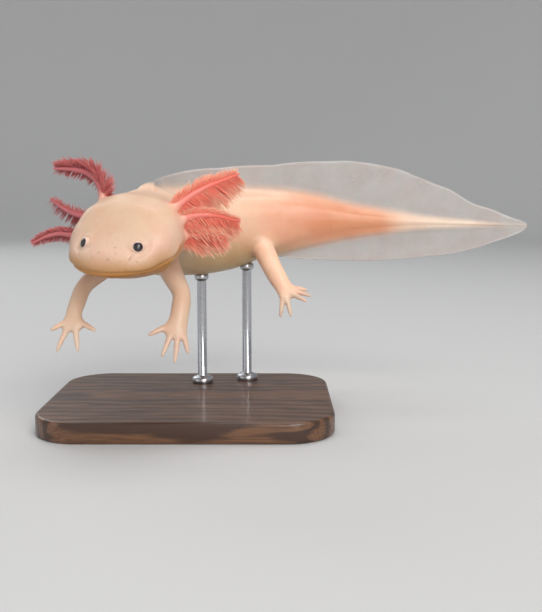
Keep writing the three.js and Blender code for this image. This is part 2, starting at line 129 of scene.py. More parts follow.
class Path:
    """A smooth curve through points, by centripetal Catmull-Rom spans, read by its share from 0 to 1."""

    def __init__(self, points: Sequence[Sequence[float]], soften: float = 0.0) -> None:
        """Samples the curve finely.

        Args:
            points: the points, in order.
            soften: the length over which its bends are evened out.
        """
        p = np.array(points, float)
        p = np.vstack([2 * p[0] - p[1], p, 2 * p[-1] - p[-2]])
        spans = []
        for a, b, c, d in zip(p[:-3], p[1:-2], p[2:-1], p[3:], strict=True):
            k = np.cumsum([0.0, *(np.linalg.norm(y - x) ** 0.5 + 1e-9 for x, y in ((a, b), (b, c), (c, d)))])
            t = np.linspace(k[1], k[2], 25)[:-1, None]
            ab = (k[1] - t) / (k[1] - k[0]) * a + (t - k[0]) / (k[1] - k[0]) * b
            bc = (k[2] - t) / (k[2] - k[1]) * b + (t - k[1]) / (k[2] - k[1]) * c
            cd = (k[3] - t) / (k[3] - k[2]) * c + (t - k[2]) / (k[3] - k[2]) * d
            abc = (k[2] - t) / (k[2] - k[0]) * ab + (t - k[0]) / (k[2] - k[0]) * bc
            bcd = (k[3] - t) / (k[3] - k[1]) * bc + (t - k[1]) / (k[3] - k[1]) * cd
            spans.append((k[2] - t) / (k[2] - k[1]) * abc + (t - k[1]) / (k[2] - k[1]) * bcd)
        self.points = np.vstack([*spans, p[-2]])
        if soften:
            self.points = self.softened(self.points, soften)
        lengths = np.linalg.norm(np.diff(self.points, axis=0), axis=1)
        self.length = float(lengths.sum())
        self.shares = np.concatenate([[0], np.cumsum(lengths)]) / self.length

    @staticmethod
    def softened(points: Array, over: float) -> Array:
        """Evens out the bends of a line.

        Args:
            points: the line's points.
            over: the length over which they are averaged.

        Returns:
            New points, each the mean of the line about it, with the ends kept.
        """
        walked = np.concatenate([[0], np.cumsum(np.linalg.norm(np.diff(points, axis=0), axis=1))])
        even = np.linspace(0, walked[-1], 160)
        line = np.stack([np.interp(even, walked, points[:, k]) for k in range(3)], -1)
        reach = np.minimum(np.minimum(even, walked[-1] - even), over / 2)[:, None]
        weight = np.maximum(0, 1 - np.abs(even[:, None] - even[None, :]) / np.maximum(reach, 1e-6))
        return weight @ line / weight.sum(1, keepdims=True)

    def at(self, share: Array | float) -> Array:
        """The points at shares of the length."""
        return np.stack([np.interp(share, self.shares, self.points[:, k]) for k in range(3)], -1)

    def way(self, share: Array | float) -> Array:
        """The directions at shares of the length."""
        share = np.asarray(share, float)
        return unit(self.at(np.minimum(share + 0.02, 1)) - self.at(np.maximum(share - 0.02, 0)))

    def nearest(self, points: Array) -> tuple[Array, Array]:
        """How far along the curve points lie, and how far from it.

        Args:
            points: an array of points.

        Returns:
            The shares of the length, and the distances.
        """
        gaps = np.linalg.norm(points[:, None, :] - self.points[None, :, :], axis=2)
        best = gaps.argmin(axis=1)
        return self.shares[best], gaps[np.arange(len(points)), best]


# ---- the body's plan
@dataclass(frozen=True)
class BodyPlan:
    """The axis, the flesh sections and the fin edges that the whole animal is built on."""

    length: float = 234
    snout: Point = (-24.8, -58.5, 62.6)
    # station, yaw away from +Y towards +X, rise towards the tail, roll that lifts the right side
    bends: Table = Table(
        [
            (0, 22.5, 28, 3), (20, 22.5, 28, 3), (30, 21, 22, 3), (40, 4, 9, 1), (52, -3, -4, 0),
            (70, 14.5, -2, 0), (90, 52.5, -1, 0), (112, 82, 0, 0), (135, 89, -0.5, 0),
            (170, 91, -1.5, 0), (234, 91, -2, 0),
        ]
    )  # fmt: skip
    # station, half width, height above the axis, depth below it, exponent of the superellipse
    sections: Table = Table(
        [
            (0, 13.3, 4.9, 3.2, 2.0), (5, 14.7, 6.0, 5.1, 1.98), (10, 17.0, 7.7, 8.2, 2.12),
            (17, 19.8, 10.8, 10.8, 2.34), (24, 19.5, 13.6, 11.4, 2.45), (28.5, 18.3, 13.6, 11.3, 2.4),
            (31.5, 17.0, 13.0, 11.3, 2.3), (34.5, 14.4, 12.3, 11.8, 2.2), (38, 13.9, 11.9, 13.2, 2.2),
            (46, 13.6, 11.2, 16.0, 2.1), (60, 14.8, 10.8, 20.6, 2.1), (76, 16.4, 11.3, 23.0, 2.1),
            (92, 16.6, 11.6, 23.2, 2.1), (106, 14.8, 11.5, 21.6, 2.1), (118, 12.0, 11.4, 17.6, 2.1),
            (130, 9.0, 10.8, 12.6, 2.0), (144, 6.4, 8.6, 9.0, 2.0), (160, 4.1, 4.8, 5.4, 2.0),
            (175, 2.5, 2.9, 3.1, 2.0), (190, 1.5, 1.6, 1.7, 2.0), (205, 0.95, 0.9, 0.95, 2.0),
            (220, 0.62, 0.5, 0.5, 2.0), (234, 0.36, 0.3, 0.3, 2.0),
        ]
    )  # fmt: skip
    upper_fin: Table = Table(
        [
            (34, 11.9), (38, 12.8), (47, 13.5), (53.4, 14.2), (63.5, 15.8), (74, 17.6), (81, 19.0),
            (89, 20.4), (97, 21.3), (104, 21.9), (112, 22.5), (122, 22.9), (131, 23.7), (140, 24.5),
            (156, 25.0), (167, 24.2), (176.5, 22.4), (188.6, 18.4), (193, 16.7), (199, 14.7),
            (205, 11.5), (212, 8.2), (219, 6.3), (224, 4.2), (228, 2.9), (231.5, 2.0), (233.2, 1.3),
            (234, 0.5),
        ]
    )  # fmt: skip
    lower_fin: Table = Table(
        [
            (116, 14.2), (122, 15.4), (130, 16.4), (142, 17.3), (156, 17.6), (167, 17.4), (180, 16.4),
            (193, 14.7), (204.5, 12.9), (213, 10.3), (222, 7.0), (227, 5.0), (231, 3.1), (233.2, 1.6),
            (234, 0.5),
        ]
    )  # fmt: skip
    # lengths over which the snout rounds off in width and in height, and the axis's spacing
    close_across: float = 9.0
    close_high: float = 5.5
    step: float = 0.5

    def directions(self, s: Array | float) -> tuple[Array, Array, Array]:
        """The directions at stations.

        Args:
            s: the stations.

        Returns:
            Back along the body, out to the animal's left, and up out of its spine.
        """
        yaw, rise, roll = np.moveaxis(np.radians(self.bends(s)), -1, 0)
        back = np.stack([np.sin(yaw) * np.cos(rise), np.cos(yaw) * np.cos(rise), np.sin(rise)], -1)
        up = np.stack([-np.sin(yaw) * np.sin(rise), -np.cos(yaw) * np.sin(rise), np.cos(rise)], -1)
        left = np.cross(back, up)
        c, d = np.cos(roll)[..., None], np.sin(roll)[..., None]
        return back, left * c - up * d, up * c + left * d

    @property
    def axis(self) -> Array:
        """The axis from the snout.

        Returns:
            Its points, one for each step.
        """
        middles = (np.arange(int(self.length / self.step) + 4) + 0.5) * self.step
        walked = np.cumsum(self.directions(middles)[0] * self.step, axis=0)
        return np.vstack([self.snout, self.snout + walked])

    def point(self, s: Array | float, left: Array | float = 0.0, up: Array | float = 0.0) -> Array:
        """Points on the animal.

        Args:
            s: the stations.
            left: offsets to the animal's left.
            up: offsets up from the axis.

        Returns:
            The points, in millimetres.
        """
        s, left, up = np.broadcast_arrays(*(np.asarray(v, float) for v in (s, left, up)))
        axis = self.axis
        k = np.clip(s / self.step, 0, len(axis) - 1.001)
        i = k.astype(int)
        on = axis[i] + (axis[i + 1] - axis[i]) * (k - i)[..., None]
        back, left_way, up_way = self.directions(s)
        ahead = back * np.minimum(s, 0)[..., None]
        return on + ahead + left_way * left[..., None] + up_way * up[..., None]

    def locate(self, points: Array) -> tuple[Array, Array, Array]:
        """Where points lie on the animal.

        Args:
            points: points in millimetres.

        Returns:
            Their stations, and their offsets to the left and up.
        """
        axis = self.axis
        coarse = np.arange(0, len(axis), 6)
        nearest = ((points[:, None, :] - axis[None, coarse, :]) ** 2).sum(2).argmin(1)
        s = coarse[nearest] * self.step
        for _ in range(12):
            back = self.directions(s)[0]
            s = np.clip(s + 0.7 * ((points - self.point(s)) * back).sum(1), -2, self.length + 1)
        _, left_way, up_way = self.directions(s)
        away = points - self.point(s)
        return s, (away * left_way).sum(1), (away * up_way).sum(1)

    def closing(self, s: Array, length: float) -> Array:
        """How much of its full size the snout has at stations, as it rounds off over a length."""
        return np.sqrt(np.clip(1 - np.clip(1 - s / length, 0, 1) ** 2, 0, 1))

    def section(self, s: Array) -> tuple[Array, Array, Array, Array]:
        """The flesh's outline at stations.

        Args:
            s: the stations.

        Returns:
            Its half width, height above the axis, depth below it and superellipse exponent.
        """
        wide, top, bottom, power = np.moveaxis(self.sections(s), -1, 0)
        high = self.closing(s, self.close_high)
        return wide * self.closing(s, self.close_across), top * high, bottom * high, power

    def arc(self, s: Array, left: Array, upper: bool) -> Array:
        """How far the flesh reaches from the axis, at offsets to the side.

        Args:
            s: the stations.
            left: the offsets.
            upper: above the axis rather than below it.

        Returns:
            The heights or depths.
        """
        wide, top, bottom, power = self.section(s)
        share = np.clip(np.abs(left) / np.maximum(wide, 1e-9), 0, 1)
        return (top if upper else bottom) * (1 - share**power) ** (1 / power)

    def fin_height(self, s: Array, upper: bool) -> Array:
        """How far the fin stands out of the flesh, with a slight wave along its edge.

        Args:
            s: the stations.
            upper: the fin above rather than the one below.

        Returns:
            The heights, or 0 where there is no fin.
        """
        _, top, bottom, _ = self.section(s)
        s = np.asarray(s, float)
        if upper:
            wave = 0.1 * np.sin(s * 0.29) + 0.06 * np.sin(s * 0.53 + 1)
            wave = wave * ramp(s, 55, 75) * ramp(s, 232, 222)
            return np.maximum((self.upper_fin(s) + wave - top) * ramp(s, 34, 42), 0)
        wave = 0.08 * np.sin(s * 0.41 + 2) * ramp(s, 232, 222)
        return np.maximum((self.lower_fin(s) + wave - bottom) * ramp(s, 117, 129), 0)


PLAN = BodyPlan()


# ---- mesh helpers
@dataclass
class Shell:
    """A closed surface as points in millimetres and faces of point numbers."""

    points: Array
    faces: list[tuple[int, ...]]

    def tree(self) -> BVHTree:
        """A search tree of the surface, in millimetres."""
        return BVHTree.FromPolygons([tuple(p) for p in self.points], self.faces)

    def to_object(self, name: str) -> bpy.types.Object:
        """Puts the surface in the scene.

        Args:
            name: the object's name.

        Returns:
            A smooth mesh object, in metres.
        """
        mesh = bpy.data.meshes.new(name)
        mesh.from_pydata([tuple(p) for p in self.points * MM], [], self.faces)
        return add_mesh(name, mesh)


def add_mesh(name: str, mesh: bpy.types.Mesh) -> bpy.types.Object:
    """Puts a mesh in the scene as an object with smooth shading.

    Args:
        name: the object's name.
        mesh: its mesh.

    Returns:
        The object.
    """
    mesh.shade_smooth()
    made = bpy.data.objects.new(name, mesh)
    bpy.context.scene.collection.objects.link(made)
    return made


def loft(rings: Array) -> Shell:
    """A closed surface over rings of points.

    Args:
        rings: an array of rings by points by three.

    Returns:
        The surface, with both ends closed onto their middles and its faces pointing outwards.
    """
    count, sides, _ = rings.shape
    points = np.vstack([rings.reshape(-1, 3), rings[0].mean(0), rings[-1].mean(0)])
    here = np.arange(sides)
    after = (here + 1) % sides
    faces = []
    for ring in range(count - 1):
        a, b = ring * sides, (ring + 1) * sides
        faces += list(zip(a + here, a + after, b + after, b + here, strict=True))
    first, last = count * sides, (count - 1) * sides
    faces += [(first, k, j) for j, k in zip(here, after, strict=True)]
    faces += [(first + 1, last + j, last + k) for j, k in zip(here, after, strict=True)]
    faces = [tuple(int(i) for i in face) for face in faces]
    corners = np.array([face[:3] for face in faces])
    a, b, c = (points[corners[:, k]] - points[first] for k in range(3))
    if (a * np.cross(b, c)).sum() < 0:
        faces = [face[::-1] for face in faces]
    return Shell(points, faces)


def tube(path: Path, shares: Array, wide: Array, thick: Array, towards: Array, sides: int) -> Shell:
    """A closed tube of elliptical sections along a path.

    Args:
        path: the tube's centre line.
        shares: where the sections lie along it.
        wide: half widths of the sections.
        thick: half thicknesses of the sections.
        towards: the direction in which the width is measured.
        sides: how many points a section has.

    Returns:
        The surface.
    """
    way = path.way(shares)
    across = unit(towards - way * (way @ towards)[:, None])
    thin = np.cross(across, way)
    turn = 2 * np.pi * np.arange(sides) / sides
    rings = (
        path.at(shares)[:, None, :]
        + across[:, None, :] * (wide[:, None] * np.cos(turn))[..., None]
        + thin[:, None, :] * (thick[:, None] * np.sin(turn))[..., None]
    )
    return loft(rings)


def round_end(shares: Array, length: float, radius: float) -> Array:
    """How much of its full size a tube has, at shares of its length, as its far end rounds off."""
    left = np.clip((1 - shares) * length / radius, 0, 1)
    return np.sqrt(np.clip(1 - (1 - left) ** 2, 0, 1))


def end_shares(count: int) -> Array:
    """Shares from 0 to 1 that crowd together towards 1, for a tube with a rounded end."""
    t = np.linspace(0, 1, count)
    return np.minimum(1 - (1 - t) ** 1.6, 0.9995)


def evaluated_copy(source: bpy.types.Object, name: str) -> bpy.types.Mesh:
    """What an object's modifiers make of it.

    Args:
        source: the object.
        name: the name of the mesh made.

    Returns:
        A plain mesh.
    """
    bpy.context.view_layer.update()
    shown = source.evaluated_get(bpy.context.evaluated_depsgraph_get())
    mesh = bpy.data.meshes.new_from_object(shown)
    mesh.name = name
    return mesh


def united(name: str, shells: Sequence[Shell]) -> bpy.types.Object:
    """Joins closed surfaces into one.

    Args:
        name: the name of the object made.
        shells: the surfaces.

    Returns:
        The union of all of them, as one mesh object.
    """
    whole = shells[0].to_object(name)
    tools = [shell.to_object(f"{name}_tool_{i}") for i, shell in enumerate(shells[1:])]
    for tool in tools:
        joined = whole.modifiers.new("join", "BOOLEAN")
        joined.operation = "UNION"
        joined.solver = "MANIFOLD"
        joined.object = tool
    mesh = evaluated_copy(whole, name)
    whole.modifiers.clear()
    whole.data = mesh
    for tool in tools:
        bpy.data.objects.remove(tool)
    return whole


def mesh_points(mesh: bpy.types.Mesh) -> Array:
    """Reads the points of a mesh.

    Args:
        mesh: the mesh.

    Returns:
        The points, in millimetres.
    """
    flat = np.zeros(len(mesh.vertices) * 3)
    mesh.vertices.foreach_get("co", flat)
    return flat.reshape(-1, 3) / MM


def mesh_normals(mesh: bpy.types.Mesh) -> Array:
    """Reads the normals at the points of a mesh.

    Args:
        mesh: the mesh.

    Returns:
        The normals.
    """
    flat = np.zeros(len(mesh.vertices) * 3, np.float32)
    mesh.vertex_normals.foreach_get("vector", flat)
    return flat.reshape(-1, 3).astype(float)


def set_points(mesh: bpy.types.Mesh, points: Array) -> None:
    """Moves the points of a mesh to new places, in millimetres."""
    mesh.vertices.foreach_set("co", (points * MM).astype(np.float32).ravel())
    mesh.update()


def set_values(mesh: bpy.types.Mesh, name: str, values: Array) -> None:
    """Stores a number or a colour at each point of a mesh.

    Args:
        mesh: the mesh.
        name: the attribute's name.
        values: one value or three for each point.
    """
    if values.ndim == 1:
        stored = mesh.attributes.new(name, "FLOAT", "POINT")
        stored.data.foreach_set("value", values.astype(np.float32))
        return
    stored = mesh.attributes.new(name, "FLOAT_COLOR", "POINT")
    full = np.concatenate([values, np.ones((len(values), 1))], axis=1)
    stored.data.foreach_set("color", full.astype(np.float32).ravel())


def relax(mesh: bpy.types.Mesh, share: Array, rounds: int) -> None:
    """Evens out a mesh where asked.

    Args:
        mesh: the mesh.
        share: how far each point moves towards the middle of its neighbours in one round.
        rounds: how many times this is done.
    """
    edges = np.zeros(len(mesh.edges) * 2, np.int64)
    mesh.edges.foreach_get("vertices", edges)
    a, b = edges.reshape(-1, 2).T
    count = np.maximum(np.bincount(a, minlength=len(share)) + np.bincount(b, minlength=len(share)), 1)
    points = mesh_points(mesh)
    for _ in range(rounds):
        total = np.stack(
            [
                np.bincount(a, points[b, k], len(share)) + np.bincount(b, points[a, k], len(share))
                for k in range(3)
            ],
            -1,
        )
        points += (total / count[:, None] - points) * share[:, None]
    set_points(mesh, points)


# ---- materials
class Nodes:
    """A material's node tree, with short calls that add nodes and join them."""

    def __init__(self, name: str) -> None:
        """Makes an empty material with a Principled surface.

        Args:
            name: the material's name.
        """
        self.material = bpy.data.materials.new(name)
        self.material.use_nodes = True
        self.tree = self.material.node_tree
        self.tree.nodes.clear()
        self.surface = self.tree.nodes.new("ShaderNodeBsdfPrincipled")
        output = self.tree.nodes.new("ShaderNodeOutputMaterial")
        self.tree.links.new(self.surface.outputs["BSDF"], output.inputs["Surface"])

    def put(self, socket: Socket, value: object) -> None:
        """Joins a socket to another one, or gives it a value.

        Args:
            socket: the input.
            value: an output to join it to, a number, or a colour.
        """
        if isinstance(value, Socket):
            self.tree.links.new(value, socket)
        elif isinstance(value, tuple) and len(value) == 3 and socket.type == "RGBA":
            socket.default_value = (*value, 1.0)
        else:
            socket.default_value = value

    def fixed(self, **values: object) -> None:
        """Sets the surface's own sockets, whose names are written with _ for a space."""
        for name, value in values.items():
            self.put(self.surface.inputs[name.replace("_", " ").title().replace("Ior", "IOR")], value)

    def place(self, scale: Point = (1, 1, 1), turn: Point = (0, 0, 0)) -> Socket:
        """Object coordinates.

        Args:
            scale: how much finer a pattern gets along each axis.
            turn: angles in degrees to turn it by.

        Returns:
            The coordinates, scaled and turned.
        """
        source = self.tree.nodes.new("ShaderNodeTexCoord").outputs["Object"]
        mapping = self.tree.nodes.new("ShaderNodeMapping")
        mapping.inputs["Scale"].default_value = scale
        mapping.inputs["Rotation"].default_value = [math.radians(a) for a in turn]
        self.put(mapping.inputs["Vector"], source)
        return mapping.outputs["Vector"]

    def attribute(self, name: str, part: str = "Fac") -> Socket:
        """A value stored on the mesh.

        Args:
            name: the attribute's name.
            part: the output read, Fac or Color.

        Returns:
            The value.
        """
        node = self.tree.nodes.new("ShaderNodeAttribute")
        node.attribute_name = name
        return node.outputs[part]

    def maths(self, operation: str, *values: object) -> Socket:
        """Adds a Math node.

        Args:
            operation: what it does.
            values: what its inputs take.

        Returns:
            Its result.
        """
        node = self.tree.nodes.new("ShaderNodeMath")
        node.operation = operation
        for socket, value in zip(node.inputs, values, strict=False):
            self.put(socket, value)
        return node.outputs[0]

    def noise(self, where: Socket, scale: float, detail: float = 2.0) -> Socket:
        """Adds soft noise.

        Args:
            where: the coordinates.
            scale: how fine it is.
            detail: how many finer layers it has.

        Returns:
            The noise, from 0 to 1.
        """
        node = self.tree.nodes.new("ShaderNodeTexNoise")
        self.put(node.inputs["Vector"], where)
        node.inputs["Scale"].default_value = scale
        node.inputs["Detail"].default_value = detail
        return node.outputs["Fac"]

    def spread(self, value: object, low: float, high: float, to_low: float, to_high: float) -> Socket:
        """Carries a value smoothly from one range to another, and holds it at the ends.

        Args:
            value: the value.
            low: start of its range.
            high: end of its range.
            to_low: what the start becomes.
            to_high: what the end becomes.

        Returns:
            The new value.
        """
        node = self.tree.nodes.new("ShaderNodeMapRange")
        node.interpolation_type = "SMOOTHSTEP"
        names = ("Value", "From Min", "From Max", "To Min", "To Max")
        for name, given in zip(names, (value, low, high, to_low, to_high), strict=True):
            self.put(node.inputs[name], given)
        return node.outputs["Result"]

    def mix(self, share: object, first: object, second: object, kind: str = "MIX") -> Socket:
        """Mixes two colours.

        Args:
            share: how much of the second one is laid on the first.
            first: the colour below.
            second: the colour on top.
            kind: the way they blend.

        Returns:
            The mixture.
        """
        node = self.tree.nodes.new("ShaderNodeMix")
        node.data_type = "RGBA"
        node.blend_type = kind
        self.put(node.inputs["Factor"], share)
        colours = {s.name: s for s in node.inputs if s.type == "RGBA"}
        self.put(colours["A"], first)
        self.put(colours["B"], second)
        return [s for s in node.outputs if s.type == "RGBA"][0]

    def bumped(self, height: Socket, distance: float, strength: float = 1.0) -> None:
        """Adds a height map to the surface, on top of any that it has.

        Args:
            height: the heights, from 0 to 1.
            distance: what a height of 1 stands for, in metres.
            strength: how strongly it shows.
        """
        node = self.tree.nodes.new("ShaderNodeBump")
        node.inputs["Strength"].default_value = strength
        node.inputs["Distance"].default_value = distance
        self.put(node.inputs["Height"], height)
        normal = self.surface.inputs["Normal"]
        if normal.is_linked:
            self.tree.links.new(normal.links[0].from_socket, node.inputs["Normal"])
        self.tree.links.new(node.outputs["Normal"], normal)


@dataclass(frozen=True)
class Speck:
    """A small soft brown mark on the head, on the skin nearest to a station and offsets."""

    s: float
    left: float
    up: float
    radius: float
    depth: float


SPECKS = (
    Speck(2.6, 3.3, 4.24, 0.9, 0.3), Speck(4.85, 5.45, 5.36, 0.7, 0.24), Speck(7.0, 4.35, 6.3, 0.75, 0.26),
    Speck(4.3, -0.6, 5.6, 0.9, 0.18), Speck(5.35, 12.3, 2.5, 0.7, 0.24), Speck(3.6, 7.2, 3.0, 0.6, 0.18),
    Speck(5.0, -4.2, 5.2, 0.7, 0.16), Speck(8.6, 0.6, 7.0, 0.6, 0.14), Speck(3.0, -2.6, 4.6, 0.6, 0.16),
)  # fmt: skip


@dataclass(frozen=True)
class SkinFinish:
    """Smooth damp skin: soft flesh under a thin wet coat, in colours stored on the mesh."""

    name: str = "axolotl_skin"
    roughness: tuple[float, float] = (0.34, 0.5)
    soft: float = 0.22
    coat: float = 0.18
    see_through: bool = False
    # brown specks, and painted shade inside the nostrils: place, radius and depth of colour of each mark
    specks: tuple[tuple[Point, float, float], ...] = ()
    mark: Colour = linear(104, 74, 66)
    blush: Colour = linear(238, 150, 124)
    freckle: Colour = linear(205, 150, 118)

    def make(self) -> bpy.types.Material:
        """Builds the material.

        Returns:
            The material.
        """
        nodes = Nodes(self.name)
        where = nodes.place()
        nodes.fixed(
            subsurface_weight=self.soft,
            subsurface_radius=(1.0, 0.35, 0.22),
            subsurface_scale=0.0022,
            coat_weight=self.coat,
            coat_roughness=0.22,
            specular_ior_level=0.42,
            ior=1.4,
        )
        tint = nodes.attribute("tint", "Color")
        cloud = nodes.noise(where, 95, 3)
        mottled = nodes.mix(nodes.spread(cloud, 0.35, 0.7, 0.0, 0.16), tint, self.blush, "MULTIPLY")
        fine = nodes.noise(where, 900, 2)
        colour = nodes.mix(nodes.spread(fine, 0.55, 0.75, 0.0, 0.1), mottled, self.freckle, "MULTIPLY")
        # the brown specks, and the painted shade inside the nostrils, laid in the mark colour
        for centre, radius, depth in self.specks:
            distance = nodes.tree.nodes.new("ShaderNodeVectorMath")
            distance.operation = "DISTANCE"
            nodes.put(distance.inputs[0], where)
            distance.inputs[1].default_value = centre
            share = nodes.spread(distance.outputs["Value"], 0.1 * radius, radius, depth, 0.0)
            colour = nodes.mix(share, colour, self.mark)
        nodes.put(nodes.surface.inputs["Base Color"], colour)
        wet = nodes.noise(where, 60, 2)
        nodes.put(nodes.surface.inputs["Roughness"], nodes.spread(wet, 0.3, 0.7, *self.roughness))
        if self.see_through:
            veil = nodes.spread(nodes.noise(where, 130, 3), 0.3, 0.7, -0.03, 0.03)
            solid = nodes.maths("MAXIMUM", nodes.maths("ADD", nodes.attribute("solid"), veil), 0.0)
            nodes.put(nodes.surface.inputs["Alpha"], nodes.maths("MINIMUM", solid, 1.0))
        pores = nodes.noise(where, 2600, 2)
        folds = nodes.noise(where, 260, 3)
        nodes.bumped(folds, 0.00022, 0.5)
        nodes.bumped(pores, 0.00004, 0.5)
        return nodes.material


class GillTone(Enum):
    """How a gill's filaments are coloured: root, tip and shaded colours; the second tone is painted shade, a
    darker and duller copy of the first for the gills on the animal's right.
    """

    CORAL = (linear(255, 138, 118), linear(255, 200, 172), linear(255, 118, 102))
    # painted shade: darker, duller filaments for the gills on the animal's right, away from the key light
    DUSKY = (linear(176, 88, 90), linear(196, 116, 114), linear(152, 70, 76))


@dataclass(frozen=True)
class GillFinish:
    """Soft red filaments, paler at their tips."""

    tone: GillTone
    soft: float = 0.6
    bloom: Colour = linear(255, 190, 170)

    def make(self) -> bpy.types.Material:
        """Builds the material.

        Returns:
            The material.
        """
        root, tip, shade = self.tone.value
        nodes = Nodes(f"gill_filaments_{self.tone.name.lower()}")
        nodes.fixed(
            subsurface_weight=self.soft,
            subsurface_radius=(1.0, 0.45, 0.4),
            subsurface_scale=0.0005,
            coat_weight=0.08,
            coat_roughness=0.25,
            specular_ior_level=0.35,
            sheen_weight=0.2,
            sheen_roughness=0.5,
            sheen_tint=tip,
        )
        along = nodes.spread(nodes.attribute("along"), 0.35, 1.0, 0.0, 1.0)
        colour = nodes.mix(along, root, tip)
        colour = nodes.mix(nodes.spread(nodes.attribute("shade"), 0.0, 1.0, 0.55, 0.0), colour, shade)
        cloud = nodes.noise(nodes.place(), 700, 2)
        colour = nodes.mix(nodes.spread(cloud, 0.35, 0.7, 0.0, 0.25), colour, self.bloom, "SOFT_LIGHT")
        nodes.put(nodes.surface.inputs["Base Color"], colour)
        nodes.put(nodes.surface.inputs["Roughness"], nodes.spread(cloud, 0.3, 0.7, 0.36, 0.5))
        nodes.bumped(nodes.noise(nodes.place(), 2200, 2), 0.00005, 0.6)
        return nodes.material


@dataclass(frozen=True)
class EyeFinish:
    """A wet dark eye inside a thin pale pinkish ring, with skin beyond it.

    The iris and the ring end at angles from the gaze, given as shares of a half turn.
    """

    iris: float = 0.24
    ring: float = 0.275
    dark: Colour = linear(24, 18, 20)
    dark_fleck: Colour = linear(66, 54, 56)
    middle: Colour = linear(84, 70, 72)
    pale: Colour = linear(214, 196, 196)
    pale_fleck: Colour = linear(190, 176, 186)
    lid: Colour = linear(228, 186, 160)

    def make(self) -> bpy.types.Material:
        """Builds the material.

        Returns:
            The material.
        """
        nodes = Nodes("axolotl_eye")
        nodes.fixed(coat_roughness=0.08, specular_ior_level=0.4, ior=1.38)
        gaze = nodes.attribute("gaze")
        wet = nodes.spread(gaze, self.iris, self.ring + 0.04, 0.7, 0.1)
        nodes.put(nodes.surface.inputs["Coat Weight"], wet)
        fleck = nodes.noise(nodes.place(), 2600, 3)
        dark = nodes.mix(nodes.spread(fleck, 0.4, 0.7, 0.0, 0.6), self.dark, self.dark_fleck)
        colour = nodes.mix(nodes.spread(gaze, 0.05, self.iris - 0.03, 0.3, 0.0), dark, self.middle)
        pale = nodes.mix(nodes.spread(fleck, 0.4, 0.7, 0.0, 0.5), self.pale, self.pale_fleck)
        in_ring = nodes.spread(gaze, self.iris - 0.014, self.iris + 0.018, 0.0, 1.0)
        beyond = nodes.spread(gaze, self.ring - 0.03, self.ring + 0.04, 0.0, 1.0)
        colour = nodes.mix(beyond, nodes.mix(in_ring, colour, pale), self.lid)
        nodes.put(nodes.surface.inputs["Base Color"], colour)
        nodes.put(nodes.surface.inputs["Roughness"], nodes.spread(fleck, 0.3, 0.7, 0.22, 0.36))
        return nodes.material


@dataclass(frozen=True)
class WoodFinish:
    """Dark-stained wood with fine long grain under a satin varnish."""

    light: Colour = linear(112, 76, 50)
    dark: Colour = linear(62, 38, 24)
    pore: Colour = linear(36, 22, 14)

    def make(self) -> bpy.types.Material:
        """Builds the material.

        Returns:
            The material.
        """
        nodes = Nodes("stand_dark_wood")
        nodes.fixed(coat_weight=0.35, coat_roughness=0.18, specular_ior_level=0.45)
        rings = nodes.tree.nodes.new("ShaderNodeTexWave")
        rings.wave_type = "RINGS"
        rings.rings_direction = "X"
        nodes.put(rings.inputs["Vector"], nodes.place((0.22, 1.0, 1.6), (4, 3, 5)))
        for name, value in (("Scale", 62.0), ("Distortion", 7.0), ("Detail", 3.0), ("Detail Scale", 1.4)):
            rings.inputs[name].default_value = value
        grain = nodes.noise(nodes.place((0.05, 1.0, 1.0), (0, 0, 3)), 1500, 4)
        pores = nodes.noise(nodes.place((0.03, 1.0, 1.0), (0, 0, 3)), 3600, 2)
        colour = nodes.mix(nodes.spread(rings.outputs["Fac"], 0.2, 0.9, 0.0, 1.0), self.dark, self.light)
        colour = nodes.mix(nodes.spread(grain, 0.35, 0.7, 0.0, 0.55), colour, self.dark)
        colour = nodes.mix(nodes.spread(pores, 0.58, 0.7, 0.0, 0.5), colour, self.pore)
        nodes.put(nodes.surface.inputs["Base Color"], colour)
        nodes.put(nodes.surface.inputs["Roughness"], nodes.spread(grain, 0.3, 0.7, 0.36, 0.52))
        nodes.bumped(grain, 0.00008, 0.35)
        nodes.bumped(pores, 0.00006, 0.3)
        return nodes.material


@dataclass(frozen=True)
class SteelFinish:
    """Steel brushed round the rod."""

    bright: Colour = linear(196, 198, 202)
    dull: Colour = linear(150, 152, 156)

    def make(self) -> bpy.types.Material:
        """Builds the material.

        Returns:
            The material.
        """
        nodes = Nodes("stand_brushed_steel")
        nodes.fixed(metallic=1.0)
        lines = nodes.noise(nodes.place((0.2, 0.2, 9.0)), 900, 3)
        smudge = nodes.noise(nodes.place(), 120, 2)
        colour = nodes.mix(nodes.spread(lines, 0.3, 0.7, 0.0, 0.35), self.bright, self.dull)
        nodes.put(nodes.surface.inputs["Base Color"], colour)
        nodes.put(nodes.surface.inputs["Roughness"], nodes.spread(smudge, 0.3, 0.7, 0.22, 0.36))
        nodes.bumped(lines, 0.00003, 0.4)
        return nodes.material


@dataclass(frozen=True)
class BackdropFinish:
    """Plain matt pale studio paint."""

    colour: Colour = linear(202, 202, 202)

    def make(self) -> bpy.types.Material:
        """Builds the material.

        Returns:
            The material.
        """
        nodes = Nodes("studio_backdrop")
        nodes.fixed(base_color=self.colour, roughness=0.85, specular_ior_level=0.2)
        return nodes.material


